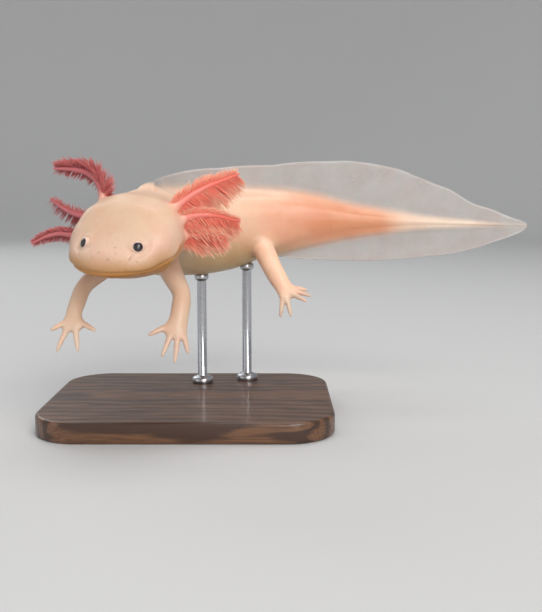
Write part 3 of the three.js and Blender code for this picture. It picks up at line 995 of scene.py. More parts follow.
# ---- the limbs' plans
@dataclass(frozen=True)
class LegPlan:
    """Where a leg's joints and toe tips are, and its half widths at root, bend, ankle and palm."""

    name: str
    root: Point
    bend: Point
    ankle: Point
    palm: Point
    toes: tuple[Point, ...]
    girth: tuple[float, float, float, float]
    blend: float = 5.0
    # share of a toe's length, half width
    toe_width: Table = Table([(0, 1.5), (0.3, 1.24), (0.55, 0.98), (0.72, 0.86), (0.9, 0.6), (1, 0.42)])

    @property
    def outward(self) -> Array:
        """The way from the ankle to the palm."""
        return unit(np.subtract(self.palm, self.ankle))

    @property
    def spread(self) -> Array:
        """The way across the palm, from the last toe to the first."""
        return unit(np.subtract(self.toes[0], self.toes[-1]))

    def shaft(self) -> Shell:
        """The leg from inside the body to the flat end of the palm.

        Returns:
            Its surface.
        """
        root, bend, ankle, palm = (np.array(p) for p in (self.root, self.bend, self.ankle, self.palm))
        shoulder, elbow, wrist, hand = self.girth
        end = palm + self.outward * 2.6
        joints = np.array([root, root + (bend - root) * 0.55, bend, (bend + ankle) / 2, ankle, palm, end])
        path = Path(joints, 9.0)
        marks = np.maximum.accumulate(path.nearest(joints)[0] + np.arange(len(joints)) * 1e-4)
        thigh, calf = (shoulder + elbow) / 2, (elbow + wrist) / 2
        halves = (
            (shoulder, shoulder), (thigh, thigh * 0.98), (elbow, elbow * 0.98), (calf * 1.02, calf * 0.92),
            (wrist * 0.98, wrist * 0.76), (hand * 0.92, wrist * 0.56), (hand * 0.84, wrist * 0.36),
        )  # fmt: skip
        sizes = Table([(mark, *half) for mark, half in zip(marks, halves, strict=True)])
        shares = end_shares(56)
        wide, thick = np.moveaxis(sizes(shares), -1, 0)
        close = round_end(shares, path.length, 1.2)
        return tube(path, shares, wide * close, thick * close, self.spread, 30)

    def toe_root(self, i: int) -> Array:
        """Where a toe starts, inside the palm."""
        side = 1 - 2 * i / (len(self.toes) - 1)
        return np.array(self.palm) - self.outward * 0.6 + self.spread * self.girth[3] * 0.6 * side

    def toe(self, i: int) -> Shell:
        """One toe, from inside the palm to its fine rounded tip.

        Args:
            i: the toe's number.

        Returns:
            Its surface.
        """
        root, tip = self.toe_root(i), np.array(self.toes[i])
        length = np.linalg.norm(tip - root)
        arch = unit(np.cross(self.spread, self.outward))
        arch = arch if arch @ np.array((0.0, -1.0, 0.6)) > 0 else -arch
        raised = [root + (tip - root) * at + arch * up * length for at, up in ((0.45, 0.06), (0.78, 0.05))]
        path = Path([root, *raised, tip])
        shares = end_shares(18)
        width = self.toe_width(shares)
        close = round_end(shares, path.length, 0.45)
        return tube(path, shares, width * close, width * 0.86 * close, self.spread, 12)


LEGS = (
    LegPlan(
        "foreleg_left",
        tuple(PLAN.point(49, 3, -12)), (-0.2, -30.2, 51.9), (-0.8, -35.5, 44.9), (-2.0, -38, 40.4),
        ((-11.3, -40.5, 39.2), (-6.4, -42.5, 31.8), (-1.8, -43, 29.6), (2.8, -41, 32.6)),
        (4.8, 3.3, 3.4, 4.4),
    ),
    LegPlan(
        "foreleg_right",
        tuple(PLAN.point(48, -8, -10)), (-35.2, -34, 55.4), (-37.2, -41, 47.3), (-37, -43.5, 43.7),
        ((-44.3, -46, 41.8), (-42, -47.5, 34.6), (-34.5, -48.5, 34.8), (-28.7, -46, 41.6)),
        (4.4, 2.9, 2.8, 3.8),
    ),
    LegPlan(
        "hindleg_left",
        tuple(PLAN.point(119, 5, -8.5)), (33.2, 12, 57.0), (36.8, 8, 51.3), (38.9, 6, 48.5),
        ((35.8, 2, 39.4), (40.0, 0.5, 39.9), (46.3, 1, 45.7), (48.2, 6, 47.3), (46.8, 10, 49.3)),
        (4.7, 3.9, 3.6, 4.1), 3.2,
    ),
    LegPlan(
        "hindleg_right",
        tuple(PLAN.point(117, -4, -8)), (24.5, 54.5, 65.5), (30.5, 62, 64.5), (33, 65, 64.2),
        ((26.5, 72.5, 62.4), (30.6, 74.8, 61.9), (35, 75.4, 62.1), (39.6, 73.4, 62.5), (42.4, 68.6, 63)),
        (4.6, 3.6, 3.2, 4.0), 3.2,
    ),
)  # fmt: skip


# A rank of filaments: its angle round the stalk, from straight below through the back, and the share of the
# full length that its filaments have. The first table is for full gills and the second for thin ones.
FULL_RANKS = (
    (-34, 0.8), (-22, 0.9), (-12, 1.0), (-3, 1.0), (6, 1.0), (15, 1.0), (25, 1.0), (37, 0.97), (51, 0.9),
    (67, 0.8), (85, 0.68), (103, 0.9), (118, 1.0), (131, 1.0), (143, 1.0), (154, 1.0), (165, 0.95),
    (178, 0.8),
)  # fmt: skip
BACK_RANKS = (
    (0, 0.95), (9, 1.0), (18, 1.0), (28, 1.0), (39, 0.97), (51, 0.9), (64, 0.82), (78, 0.7), (93, 0.6),
    (107, 0.9), (119, 1.0), (130, 1.0), (140, 1.0), (149, 1.0), (157, 0.9),
)  # fmt: skip


@dataclass(frozen=True)
class GillPlan:
    """A gill's stalk, as offsets [back, left, up] from the axis at the gill line, and its fringe."""

    name: str
    stalk: tuple[Point, ...]
    hang: Point
    reach: tuple[float, float]
    tone: GillTone
    radius: float = 2.2
    bare: float = 4.8
    s: float = 31
    way_s: float = 25
    # share of the stalk's length, share of its radius
    taper: Table = Table([(0, 1.12), (0.16, 1.0), (0.4, 0.8), (0.7, 0.52), (0.9, 0.32), (1, 0.22)])

    def turned(self, offset: Point) -> Array:
        """A direction given as [back, left, up] of the head's rear."""
        back, left, up = PLAN.directions(self.way_s)
        return back * offset[0] + left * offset[1] + up * offset[2]

    @property
    def path(self) -> Path:
        """The stalk's centre line.

        Returns:
            The line, from inside the head to the stalk's tip.
        """
        points = [PLAN.point(self.s) + self.turned(p) for p in self.stalk]
        inside = points[0] - unit(points[1] - points[0]) * 2.5
        return Path([inside, *points])

    def shell(self) -> Shell:
        """The stalk's surface.

        Returns:
            A closed tube that tapers to a rounded tip.
        """
        path = self.path
        shares = end_shares(34)
        wide = self.radius * self.taper(shares) * round_end(shares, path.length, 0.5)
        return tube(path, shares, wide, wide * 0.86, self.turned(self.hang), 22)


GILLS = (
    GillPlan(
        "gill_left_upper",
        ((0, 12.8, 7.5), (3, 16.4, 9.4), (7, 19.9, 11.1), (10.5, 23.5, 12.2), (15, 27.8, 12.7),
         (20, 32.3, 13.2)),
        (0.3, 0.35, -0.9), (11.6, 5.9), GillTone.CORAL, 1.55, 3.2,
    ),
    GillPlan(
        "gill_left_middle",
        ((-1, 14.3, 3.2), (1.2, 18.6, 4.7), (4, 23.5, 4.6), (7, 27.9, 2.8), (9.5, 30.8, 0.6),
         (11.8, 33.8, -1.5)),
        (0.3, 0.1, -0.9), (12.8, 4.2), GillTone.CORAL, 1.5, 3.2,
    ),
    GillPlan(
        "gill_left_lower",
        ((-1.5, 13.6, -2.0), (-0.3, 18.2, -1.5), (1.0, 22.3, -1.8), (2.6, 26.6, -2.9), (4.2, 30.8, -4.4)),
        (0.3, -0.1, -0.95), (10.4, 4.0), GillTone.CORAL, 1.4, 3.0,
    ),
    GillPlan(
        "gill_right_upper",
        ((0, -13, 7.5), (5.5, -16.2, 11.7), (8, -19.4, 14.6), (9.3, -24.1, 16.3), (9, -30, 17.3),
         (8, -36.6, 17.7)),
        (0.4, 0, -0.9), (6.6, 7.0), GillTone.DUSKY, 2.0, 5.0,
    ),
    GillPlan(
        "gill_right_middle",
        ((-0.5, -14.1, 2.8), (0.5, -23, 2.9), (1.6, -29.8, 3.8), (2.7, -34.5, 5.6), (3.8, -38.2, 7.7)),
        (0.4, 0, -0.9), (8.4, 2.4), GillTone.DUSKY, 1.7, 6,
    ),
    GillPlan(
        "gill_right_lower",
        ((-2, -14.4, -3.3), (-2, -27.6, -3.9), (-2.6, -33.1, -3.4), (-4.2, -39, -4.4), (-6.5, -44.3, -6.5)),
        (0.4, 0, -0.9), (5.4, 4.2), GillTone.DUSKY, 1.8, 7,
    ),
)  # fmt: skip


@dataclass(frozen=True)
class EyePlan:
    """An eye ball's place on the head and the way it looks, as shares forward, out to its side and up."""

    side: int
    s: float
    out: float
    up: float
    radius: float = 2.3
    gaze: Point = (0.6, 0.52, 0.62)
    sunk: float = 1.15

    @property
    def centre(self) -> Array:
        """The ball's middle, sunk below the place on the skin that the eye looks out of."""
        return PLAN.point(self.s, self.side * self.out, self.up) - self.look * self.sunk

    @property
    def look(self) -> Array:
        """The way that the eye looks.

        Returns:
            A direction of length one.
        """
        back, left, up = PLAN.directions(self.s)
        ahead, out, above = self.gaze
        return unit(-back * ahead + left * out * self.side + up * above)


EYES = (EyePlan(1, 9.3, 11.5, 5.6), EyePlan(-1, 8.6, 8.9, 6.15, gaze=(0.64, 0.46, 0.62), sunk=1.5))


# ---- the skin
@dataclass
class Places:
    """Where the skin's points are: station, offsets left and up, and distance outside the limbless body."""

    s: Array
    left: Array
    up: Array
    off: Array

    @property
    def side(self) -> Array:
        """Distances to either side of the animal's middle."""
        return np.abs(self.left)


class Paint:
    """Colours laid one over another on the points of a mesh."""

    def __init__(self, colours: dict[str, Colour], ground: str, count: int) -> None:
        """Takes the named colours, and covers a count of points with the one named ground."""
        self.colours = {name: np.array(colour) for name, colour in colours.items()}
        self.tint = np.tile(self.colours[ground], (count, 1))

    def lay(self, name: str, share: Array, where: Array | slice = slice(None)) -> None:
        """Lays a named colour over the ones there, by its share at each of the points."""
        share = np.clip(share, 0, 1)[:, None]
        self.tint[where] = self.tint[where] * (1 - share) + self.colours[name] * share


@dataclass
class Skin:
    """One skin over head, trunk, tail, fins, legs and gill stalks."""

    fin_points: int = 24
    flank_points: int = 104
    fin_root: float = 5.0
    fin_foot: float = 1.0
    fin_edge_highlight: float = 0.32
    stalk_blend: float = 2.6
    toe_blend: float = 1.3
    nostril_out: tuple[float, float] = (10.05, 8.5)
    nostril_depth: float = 0.05
    # distance above the line between the lips, width and height of each ridge or groove along it
    lip_ridges: tuple[Point, ...] = ((0, 0.45, -0.28), (1.3, 1.1, 0.2), (-1.3, 0.9, 0.1))
    chin_groove: Point = (-3.4, 1.6, -0.25)
    mouth_corner: tuple[float, float] = (19.6, 19.6)
    # spacing and depth of the grooves between the ribs, and of the chevrons of muscle along the tail
    ribs: tuple[float, float] = (5.2, 0.16)
    chevrons: tuple[float, float] = (4.6, 0.08)
    # station, height of the line between the lips, which dips behind the snout and turns up at its corner
    lips: Table = Table(
        [(0, 0.5), (2, 0.3), (5, -1.0), (9, -1.9), (13, -1.7), (16, -1.9), (18.5, -1.5), (21, -0.8)]
    )
    colours: dict[str, Colour] = field(
        default_factory=lambda: {
            # the head's cream tone, set darker than the back partly as painted shade
            "head": linear(218, 184, 161),
            "crown": linear(215, 184, 155),
            # golden tone of the lips and the jaw below them, darkened towards the mouth line and under the
            # jaw as painted shade
            "muzzle_tone_and_shade": linear(181, 137, 88),
            "jaw_tone_and_shade": linear(178, 125, 68),
            "back": linear(234, 199, 172),
            # painted shade: the underside of the trunk is coloured darker than the back
            "belly": linear(196, 168, 128),
            "hip": linear(228, 168, 137),
            "core": linear(214, 146, 106),
            "tail_tip": linear(226, 205, 185),
            "fin": linear(199, 193, 187),
            # painted highlight along the fins' edges
            "fin_edge_highlight": linear(235, 232, 230),
            # painted light and shade: the forelegs' colour is darker than the back and the hind legs' lighter
            "leg": linear(212, 181, 156),
            "hind_leg_painted_light": linear(242, 205, 177),
            "toe": linear(214, 189, 168),
            "cheek_edge": linear(234, 170, 154),
            "stalk": linear(234, 140, 128),
            "stalk_tip": linear(236, 118, 102),
            # painted shade: the darker stalks of the gills on the animal's right
            "stalk_painted_shade": linear(197, 112, 116),
        }
    )

    def stations(self) -> Array:
        """Where the rings lie.

        Returns:
            Stations, close together on the face and wider apart along the tail.
        """
        nose = 5.5 * (1 - np.cos(np.linspace(0.06, 1.45, 20)))
        head = np.arange(nose[-1] + 0.42, 36, 0.46)
        neck = np.arange(head[-1] + 0.7, 62, 0.85)
        trunk = np.arange(neck[-1] + 1.1, 132, 1.15)
        tail = np.arange(trunk[-1] + 1.5, PLAN.length - 3, 1.6)
        tip = PLAN.length - np.array([3.0, 2.0, 1.2, 0.6, 0.25, 0.05])
        return np.concatenate([nose, head, neck, trunk, tail, tip])

    def fin_zone(self, s: float, upper: bool) -> tuple[Array, Array]:
        """Half of the outline over the crest or under the keel.

        Args:
            s: the station.
            upper: the crest rather than the keel.

        Returns:
            Offsets to the side and away from the axis, from the fin's edge to its foot.
        """
        wide = float(PLAN.section(np.float64(s))[0])
        height = float(PLAN.fin_height(np.float64(s), upper))
        n = self.fin_points
        foot_count = n // 3
        j = np.arange(n + 1)
        root = min(self.fin_root, 0.72 * wide)
        foot = min(self.fin_foot, 0.34 * wide + 0.1)
        edge = min(self.fin_edge_highlight, foot * 0.8)
        plate = n - foot_count
        up_share = np.clip(1 - (j / plate) ** 1.05, 0, 1)
        flare = np.clip((j - plate) / foot_count, 0, 1)
        standing = edge + (foot - edge) * (1 - up_share) ** 1.4
        standing = np.where(j <= plate, standing, foot + (root - foot) * flare**1.3)
        tip_round = np.sqrt(np.clip(1 - np.clip(1 - j / 3.0, 0, 1) ** 2, 0, 1))
        standing = standing * tip_round
        side = standing * ramp(height, 0, 2.5) + root * (j / n) * (1 - ramp(height, 0, 2.5))
        low = min(height, 2.6) * np.exp(-np.maximum(side - foot, 0) / 1.4) * (flare < 1)
        low = low * (1 - flare**3)
        lift = np.where(j <= plate, min(height, 2.6) + (height - min(height, 2.6)) * up_share, low)
        if height > 0:
            lift[: 3] -= 0.12 * (1 - tip_round[:3]) * min(1.0, height)
        return side, PLAN.arc(np.full(n + 1, s), side, upper) + lift

    def ring(self, s: float) -> Array:
        """The outline of the flesh and the fins, all the way round.

        Args:
            s: the station.

        Returns:
            Its points.
        """
        wide, top, bottom, power = (float(v) for v in PLAN.section(np.float64(s)))
        crest, crest_up = self.fin_zone(s, True)
        keel, keel_down = self.fin_zone(s, False)
        root = crest[-1] / wide
        start = math.acos(min(1.0, root ** (power / 2)))
        end = -math.acos(min(1.0, (keel[-1] / wide) ** (power / 2)))
        t = np.linspace(0, 1, self.flank_points + 2)[1:-1]
        turn = start + (end - start) * t
        lip = 0.5 * ramp(s, 30, 20)
        turn = turn - lip * 0.5 * np.sin(2 * turn) * (1 - np.abs(turn) / 1.6)
        cosine, sine = np.cos(turn), np.sin(turn)
        flank = wide * np.abs(cosine) ** (2 / power)
        flank_up = np.where(sine > 0, top, bottom) * np.sign(sine) * np.abs(sine) ** (2 / power)
        left = np.concatenate([crest, flank, keel[::-1]])
        up = np.concatenate([crest_up, flank_up, -keel_down[::-1]])
        whole_left = np.concatenate([left, -left[-2:0:-1]])
        whole_up = np.concatenate([up, up[-2:0:-1]])
        return PLAN.point(np.full(len(whole_left), s), whole_left, whole_up)

    def build(self) -> bpy.types.Object:
        """Lofts the body, joins the limbs and stalks to it, and models the details of its surface.

        Returns:
            The skin.
        """
        body = loft(np.stack([self.ring(s) for s in self.stations()]))
        shafts = [leg.shaft() for leg in LEGS]
        toes = [[leg.toe(i) for i in range(len(leg.toes))] for leg in LEGS]
        stalks = [gill.shell() for gill in GILLS]
        made = united("skin", [body, *shafts, *(toe for foot in toes for toe in foot), *stalks])
        LOG.info("skin joined: %d points", len(made.data.vertices))
        self.body_tree = body.tree()
        corners = []
        for leg, shaft, foot in zip(LEGS, shafts, toes, strict=True):
            corners.append(([shaft.tree()], self.body_tree, leg.blend))
            corners.append(([toe.tree() for toe in foot], shaft.tree(), self.toe_blend))
        corners += [([stalk.tree()], self.body_tree, self.stalk_blend) for stalk in stalks]
        fillet = np.zeros(len(made.data.vertices))
        for parts, base, blend in corners:
            fillet = np.maximum(fillet, self.fill(made.data, parts, base, blend))
        relax(made.data, 0.5 * np.minimum(fillet, 1), 8)
        self.paint(made.data, self.model(made.data))
        return made

    @staticmethod
    def distances(tree: BVHTree, points: Array, within: float) -> tuple[Array, Array]:
        """How far points lie outside a closed surface, and the way out of it.

        Args:
            tree: the surface.
            points: the points.
            within: how far to look.

        Returns:
            Signed distances, negative inside and large where nothing is near, and directions.
        """
        far = np.full(len(points), 1e3)
        ways = np.zeros_like(points)
        for i, p in enumerate(points):
            near, normal, _, gap = tree.find_nearest(Vector(p), within)
            if near is None:
                continue
            away = np.array(p) - np.array(near)
            side = 1.0 if away @ np.array(normal) >= 0 else -1.0
            far[i] = gap * side
            ways[i] = away * side / gap if gap > 1e-3 else np.array(normal)
        return far, ways

    def fill(self, mesh: bpy.types.Mesh, parts: Sequence[BVHTree], base: BVHTree, blend: float) -> Array:
        """Rounds the corner where parts stand on a base, by moving points out onto a smooth union.

        Args:
            mesh: the joined mesh.
            parts: the parts.
            base: what they stand on.
            blend: how far from the corner the rounding reaches.

        Returns:
            How strongly each point was in a corner.
        """
        points = mesh_points(mesh)
        strength = np.zeros(len(points))
        corner = self.near_box(points, parts, blend)
        for _ in range(4):
            picked = points[corner]
            value, way = self.distances(base, picked, blend * 1.5)
            reach = np.zeros(len(picked))
            for part in parts:
                other, other_way = self.distances(part, picked, blend * 1.5)
                share = np.clip(0.5 + 0.5 * (other - value) / blend, 0, 1)
                merged = other * (1 - share) + value * share - blend * share * (1 - share)
                way = other_way * (1 - share)[:, None] + way * share[:, None]
                reach = np.maximum(reach, 4 * share * (1 - share) * (np.abs(merged) < blend))
                value = merged
            move = np.where((np.abs(value) < blend) & (reach > 0), -value, 0.0)
            size = np.maximum((way**2).sum(1), 0.3)
            points[corner] += way * (move / size)[:, None]
            strength[corner] = np.maximum(strength[corner], reach)
        set_points(mesh, points)
        return strength

    @staticmethod
    def near_box(points: Array, parts: Sequence[BVHTree], margin: float) -> Array:
        """Finds the points close to any of some parts.

        Args:
            points: the points.
            parts: the parts.
            margin: how close.

        Returns:
            The points' numbers.
        """
        close = [
            i
            for i, p in enumerate(points)
            if any(part.find_nearest(Vector(p), margin)[0] is not None for part in parts)
        ]
        return np.array(close, int)

    def model(self, mesh: bpy.types.Mesh) -> Places:
        """Moves the skin's points to make the mouth, folds, grooves, nostrils and eye sockets.

        Args:
            mesh: the skin.

        Returns:
            Where its points have come to lie.
        """
        points = mesh_points(mesh)
        off, _ = self.distances(self.body_tree, points, 1.5)
        at = Places(*PLAN.locate(points), off)
        on_body = np.abs(off) < 1.2
        out = (self.mouth_relief(points, at) + self.neck_relief(at) + self.flank_relief(at)) * on_body
        for flip in (1, -1):
            for share in (0.0, 0.25, 0.5, 0.75, 1.0):
                far = np.linalg.norm(points - self.nostril(flip, share), axis=1)
                out -= self.nostril_depth * bump(far, 0, 0.45)
        set_points(mesh, points + mesh_normals(mesh) * out[:, None])
        relax(mesh, self.fin_foot_share(at) * on_body, 14)
        points = mesh_points(mesh)
        for eye in EYES:
            points = self.socket(points, eye)
        set_points(mesh, points)
        soft = 0.35 * ramp(at.s, 40, 36) * on_body + 0.2 * (~on_body)
        near_eye = np.min([np.linalg.norm(points - eye.centre, axis=1) for eye in EYES], axis=0)
        relax(mesh, soft * ramp(near_eye, 3.2, 4.5), 2)
        return Places(*PLAN.locate(mesh_points(mesh)), off)

    def mouth_relief(self, points: Array, at: Places) -> Array:
        """The lips with the line between them, and the fleshy corners of the mouth.

        Args:
            points: the skin's points.
            at: where they are.

        Returns:
            How far each point moves out.
        """
        gap = self.above_lips(at)
        out = sum(height * bump(gap, middle, width) for middle, width, height in self.lip_ridges)
        middle, width, height = self.chin_groove
        out = (out + height * bump(gap, middle, width) * (at.s > 3)) * ramp(at.s, 20.5, 16.5)
        s, left = self.mouth_corner
        for flip in (1, -1):
            corner = PLAN.point(s, flip * left, float(self.lips(s)))
            out += 0.3 * bump(np.linalg.norm(points - corner, axis=1), 0, 1.8)
        return out

    @staticmethod
    def neck_relief(at: Places) -> Array:
        """The loose fold of skin across the throat, and the slight crease at the nape.

        Args:
            at: where the points are.

        Returns:
            How far each point moves out.
        """
        behind = at.s - 33.4 - 1.4 * bump(at.up, -9, 6)
        fold = (0.75 * bump(behind, -1.4, 1.4) - 1.15 * bump(behind, 1.0, 1.1)) * ramp(-at.up, -9.0, 1.0)
        return fold - 0.45 * bump(at.s, 37.0, 1.8) * ramp(at.up, 3, 9) * ramp(at.side, 1.5, 4.5)

    def flank_relief(self, at: Places) -> Array:
        """The grooves between the ribs, and the chevrons of muscle along the tail.

        Args:
            at: where the points are.

        Returns:
            How far each point moves out.
        """
        pitch, depth = self.ribs
        trunk = ramp(at.s, 54, 60) * ramp(at.s, 116, 108) * ramp(at.up, 9.5, 5) * ramp(at.up, -17, -9)
        groove = np.cos((at.s - 57 + 0.12 * at.up) * 2 * np.pi / pitch)
        out = -depth * np.clip(groove - 0.55, 0, 1) / 0.45 * trunk
        pitch, depth = self.chevrons
        tail = ramp(at.s, 118, 126) * ramp(at.s, 176, 160) * (at.side > 1.4)
        chevron = np.cos((at.s - 0.35 * np.abs(at.up)) * 2 * np.pi / pitch)
        return out - depth * np.clip(chevron - 0.5, 0, 1) / 0.5 * tail

    @staticmethod
    def fin_foot_share(at: Places) -> Array:
        """The soft band where the fins grow out of the tail's muscle.

        Args:
            at: where the points are.

        Returns:
            How much the skin is evened out at each point.
        """
        _, top, bottom, _ = PLAN.section(np.clip(at.s, 0.01, PLAN.length))
        above = np.abs(at.up) - np.where(at.up > 0, top, bottom)
        band = 0.6 * ramp(above, -5, -2) * ramp(above, 2.4, 1.2)
        return band * ramp(at.s, 96, 112) * ramp(at.s, 205, 190) * ramp(at.side, 0.5, 1.0)

    def above_lips(self, at: Places) -> Array:
        """How far places are above the line between the lips."""
        return at.up - self.lips(at.s) + 0.04 * at.left * ramp(at.s, 10, 2)

    def on_skin(self, s: float, left: float, up: float) -> Array:
        """The point of the body's surface nearest to a place on the animal."""
        near = self.body_tree.find_nearest(Vector(PLAN.point(s, left, up)))[0]
        return np.array(near)

    def nostril(self, flip: int, share: float) -> Array:
        """A point along a nostril's slanting slit, on the left side or the right."""
        out = self.nostril_out[0 if flip > 0 else 1]
        return self.on_skin(4.6 + 1.9 * share, flip * (out + 0.5 * share), 3.5 + 1.1 * share)

    @staticmethod
    def socket(points: Array, eye: EyePlan) -> Array:
        """Presses the skin in behind an eye ball, and lifts a soft rim round it.

        Args:
            points: the skin's points.
            eye: the eye.

        Returns:
            The points, moved.
        """
        away = points - eye.centre
        far = np.linalg.norm(away, axis=1)
        way = away / np.maximum(far, 1e-9)[:, None]
        turn = np.degrees(np.arccos(np.clip(way @ eye.look, -1, 1)))
        inside = (far < eye.radius * 1.9) & (turn < 110)
        wanted = eye.radius * (0.93 + 0.13 * ramp(turn, 56, 70))
        share = ramp(turn, 92, 62) * inside
        target = np.where(far > wanted, wanted, far)
        lip = 0.3 * bump(far, eye.radius * 1.22, 0.62) * ramp(turn, 40, 62) * ramp(turn, 130, 95)
        moved = eye.centre + way * (far * (1 - share) + target * share)[:, None]
        return moved + eye.look * lip[:, None]

    def paint(self, mesh: bpy.types.Mesh, at: Places) -> None:
        """Stores the skin's colours, and how solid it is, at each point.

        Args:
            mesh: the skin.
            at: where its points are.
        """
        s, up = at.s, at.up
        gap = self.above_lips(at)
        paint = Paint(self.colours, "back", len(s))
        # painted shade: the underside of the trunk takes a darker colour than the back
        paint.lay("belly", ramp(up, -1, -15) * ramp(s, 30, 45))
        # the head is coloured darker than the back, partly as painted shade
        paint.lay("head", ramp(s, 40, 26))
        paint.lay("crown", ramp(s, 40, 30) * ramp(up, 5, 10) * 0.8)
        # golden lips and jaw: their own tone, with painted shade darkening it towards the mouth line and
        # under the jaw
        paint.lay("muzzle_tone_and_shade", ramp(gap, 6.6, 0.0) * ramp(s, 22, 10))
        paint.lay("jaw_tone_and_shade", ramp(gap, 0.9, -0.5) * ramp(s, 30, 20) * ramp(gap, -12, -5))
        paint.lay("hip", ramp(s, 102, 136) * ramp(s, 190, 160) * ramp(np.abs(up + 1), 17, 5) * 0.95)
        paint.lay("core", ramp(s, 126, 150) * ramp(s, 192, 166) * ramp(np.abs(up + 0.5), 10, 1.5) * 0.9)
        paint.lay("tail_tip", ramp(s, 168, 192))
        paint.lay("cheek_edge", bump(s, 31.5, 2.6) * ramp(at.side, 9, 14) * 0.7)
        solid = self.paint_fins(at, paint)
        self.paint_limbs(mesh_points(mesh), at, paint)
        set_values(mesh, "tint", paint.tint)
        set_values(mesh, "solid", solid)

    @staticmethod
    def paint_fins(at: Places, paint: Paint) -> Array:
        """Colours the fins, and paints a pale highlight along their edges.

        Args:
            at: where the points are.
            paint: the colours.

        Returns:
            How solid the skin is at each point: 1 on flesh and less on a fin.
        """
        s, upper, body = at.s, at.up > 0, at.off < 0.8
        _, top, bottom, _ = PLAN.section(np.clip(s, 0.01, PLAN.length))
        height = np.where(upper, PLAN.fin_height(s, True), PLAN.fin_height(s, False))
        above = np.where(height > 0.3, np.abs(at.up) - np.where(upper, top, bottom), -5.0)
        edge = np.maximum(height - above, 0)
        foot = 4.6 - 2.4 * ramp(s, 165, 200) - 1.2 * ramp(s, 200, 222)
        foot = foot - 2.4 * ramp(s, 70, 50) - 1.2 * ramp(s, 50, 42)
        start = np.where(upper, ramp(s, 39, 48), 1.0)
        fin = np.maximum(ramp(above, -0.3, foot), 0.8 * ramp(s, 206, 230)) * body * start
        # painted highlight: a pale band along the fin's edge, which is also made more opaque
        rim = bump(edge, 0, 0.55) * ramp(above, 0.6, 3.0) * body * ramp(s, 58, 90)
        paint.lay("fin", fin)
        paint.lay("fin_edge_highlight", rim * 0.9)
        clear = np.where(upper, 0.44 + 0.19 * ramp(s, 44, 90), 0.62)
        return 1 - fin * clear * (1 - 0.5 * rim)

    @staticmethod
    def paint_limbs(points: Array, at: Places, paint: Paint) -> None:
        """Colours the legs, toes and gill stalks.

        Args:
            points: the skin's points.
            at: where they are.
            paint: the colours.
        """
        limb = np.flatnonzero(at.off > 0.1)
        near, away = points[limb], ramp(at.off, 0.2, 3.0)[limb]
        for leg in LEGS:
            _, far = Path([leg.root, leg.bend, leg.ankle, leg.palm]).nearest(near)
            # the forelegs take a darker colour as painted shade and the hind legs a lighter one as painted
            # light
            paint.lay("hind_leg_painted_light" if leg.name.startswith("hind") else "leg", ramp(far, 13, 9) * away, limb)
            from_palm = near - np.array(leg.palm)
            toes = ramp(from_palm @ leg.outward, -1, 5) * ramp(np.linalg.norm(from_palm, axis=1), 16, 13)
            paint.lay("toe", toes * away, limb)
        for gill in GILLS:
            coral = gill.tone is GillTone.CORAL
            share, far = gill.path.nearest(near)
            close = ramp(far, 4.2, 3.0)
            # the stalks of the gills on the animal's right take a darker colour as painted shade
            paint.lay("stalk" if coral else "stalk_painted_shade", close * ramp(share, 0.12, 0.32) * away, limb)
            if coral:
                paint.lay("stalk_tip", close * ramp(share, 0.35, 0.75) * away, limb)

    def marks(self) -> tuple[tuple[Point, float, float], ...]:
        """The brown specks, and the shade inside the nostrils.

        Returns:
            Each mark's place and radius, in metres, and its depth of colour.
        """
        found = [(self.on_skin(speck.s, speck.left, speck.up), speck.radius, speck.depth) for speck in SPECKS]
        for flip, depth in ((1, 0.24), (-1, 0.16)):
            found += [(self.nostril(flip, share), 0.62, depth) for share in (0.0, 0.2, 0.4, 0.6, 0.8, 1.0)]
        return tuple((tuple(float(v) for v in spot * MM), size * MM, depth) for spot, size, depth in found)

    def dress(self, made: bpy.types.Object) -> None:
        """Gives the skin its two finishes, rides it on the body and lets it stand for the flesh.

        Args:
            made: the skin.
        """
        made.data.materials.clear()
        made.data.materials.append(SkinFinish(specks=self.marks()).make())
        made.data.materials.append(SkinFinish("axolotl_fin", (0.3, 0.44), 0.12, 0.22, True).make())
        solid = np.zeros(len(made.data.vertices), np.float32)
        made.data.attributes["solid"].data.foreach_get("value", solid)
        thin = [int(min(solid[v] for v in face.vertices) < 0.999) for face in made.data.polygons]
        made.data.polygons.foreach_set("material_index", thin)
        made.data.shade_smooth()
        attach(made, BODY)
        flesh = [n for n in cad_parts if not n.startswith(("stand_", "eye_"))]
        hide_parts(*flesh)


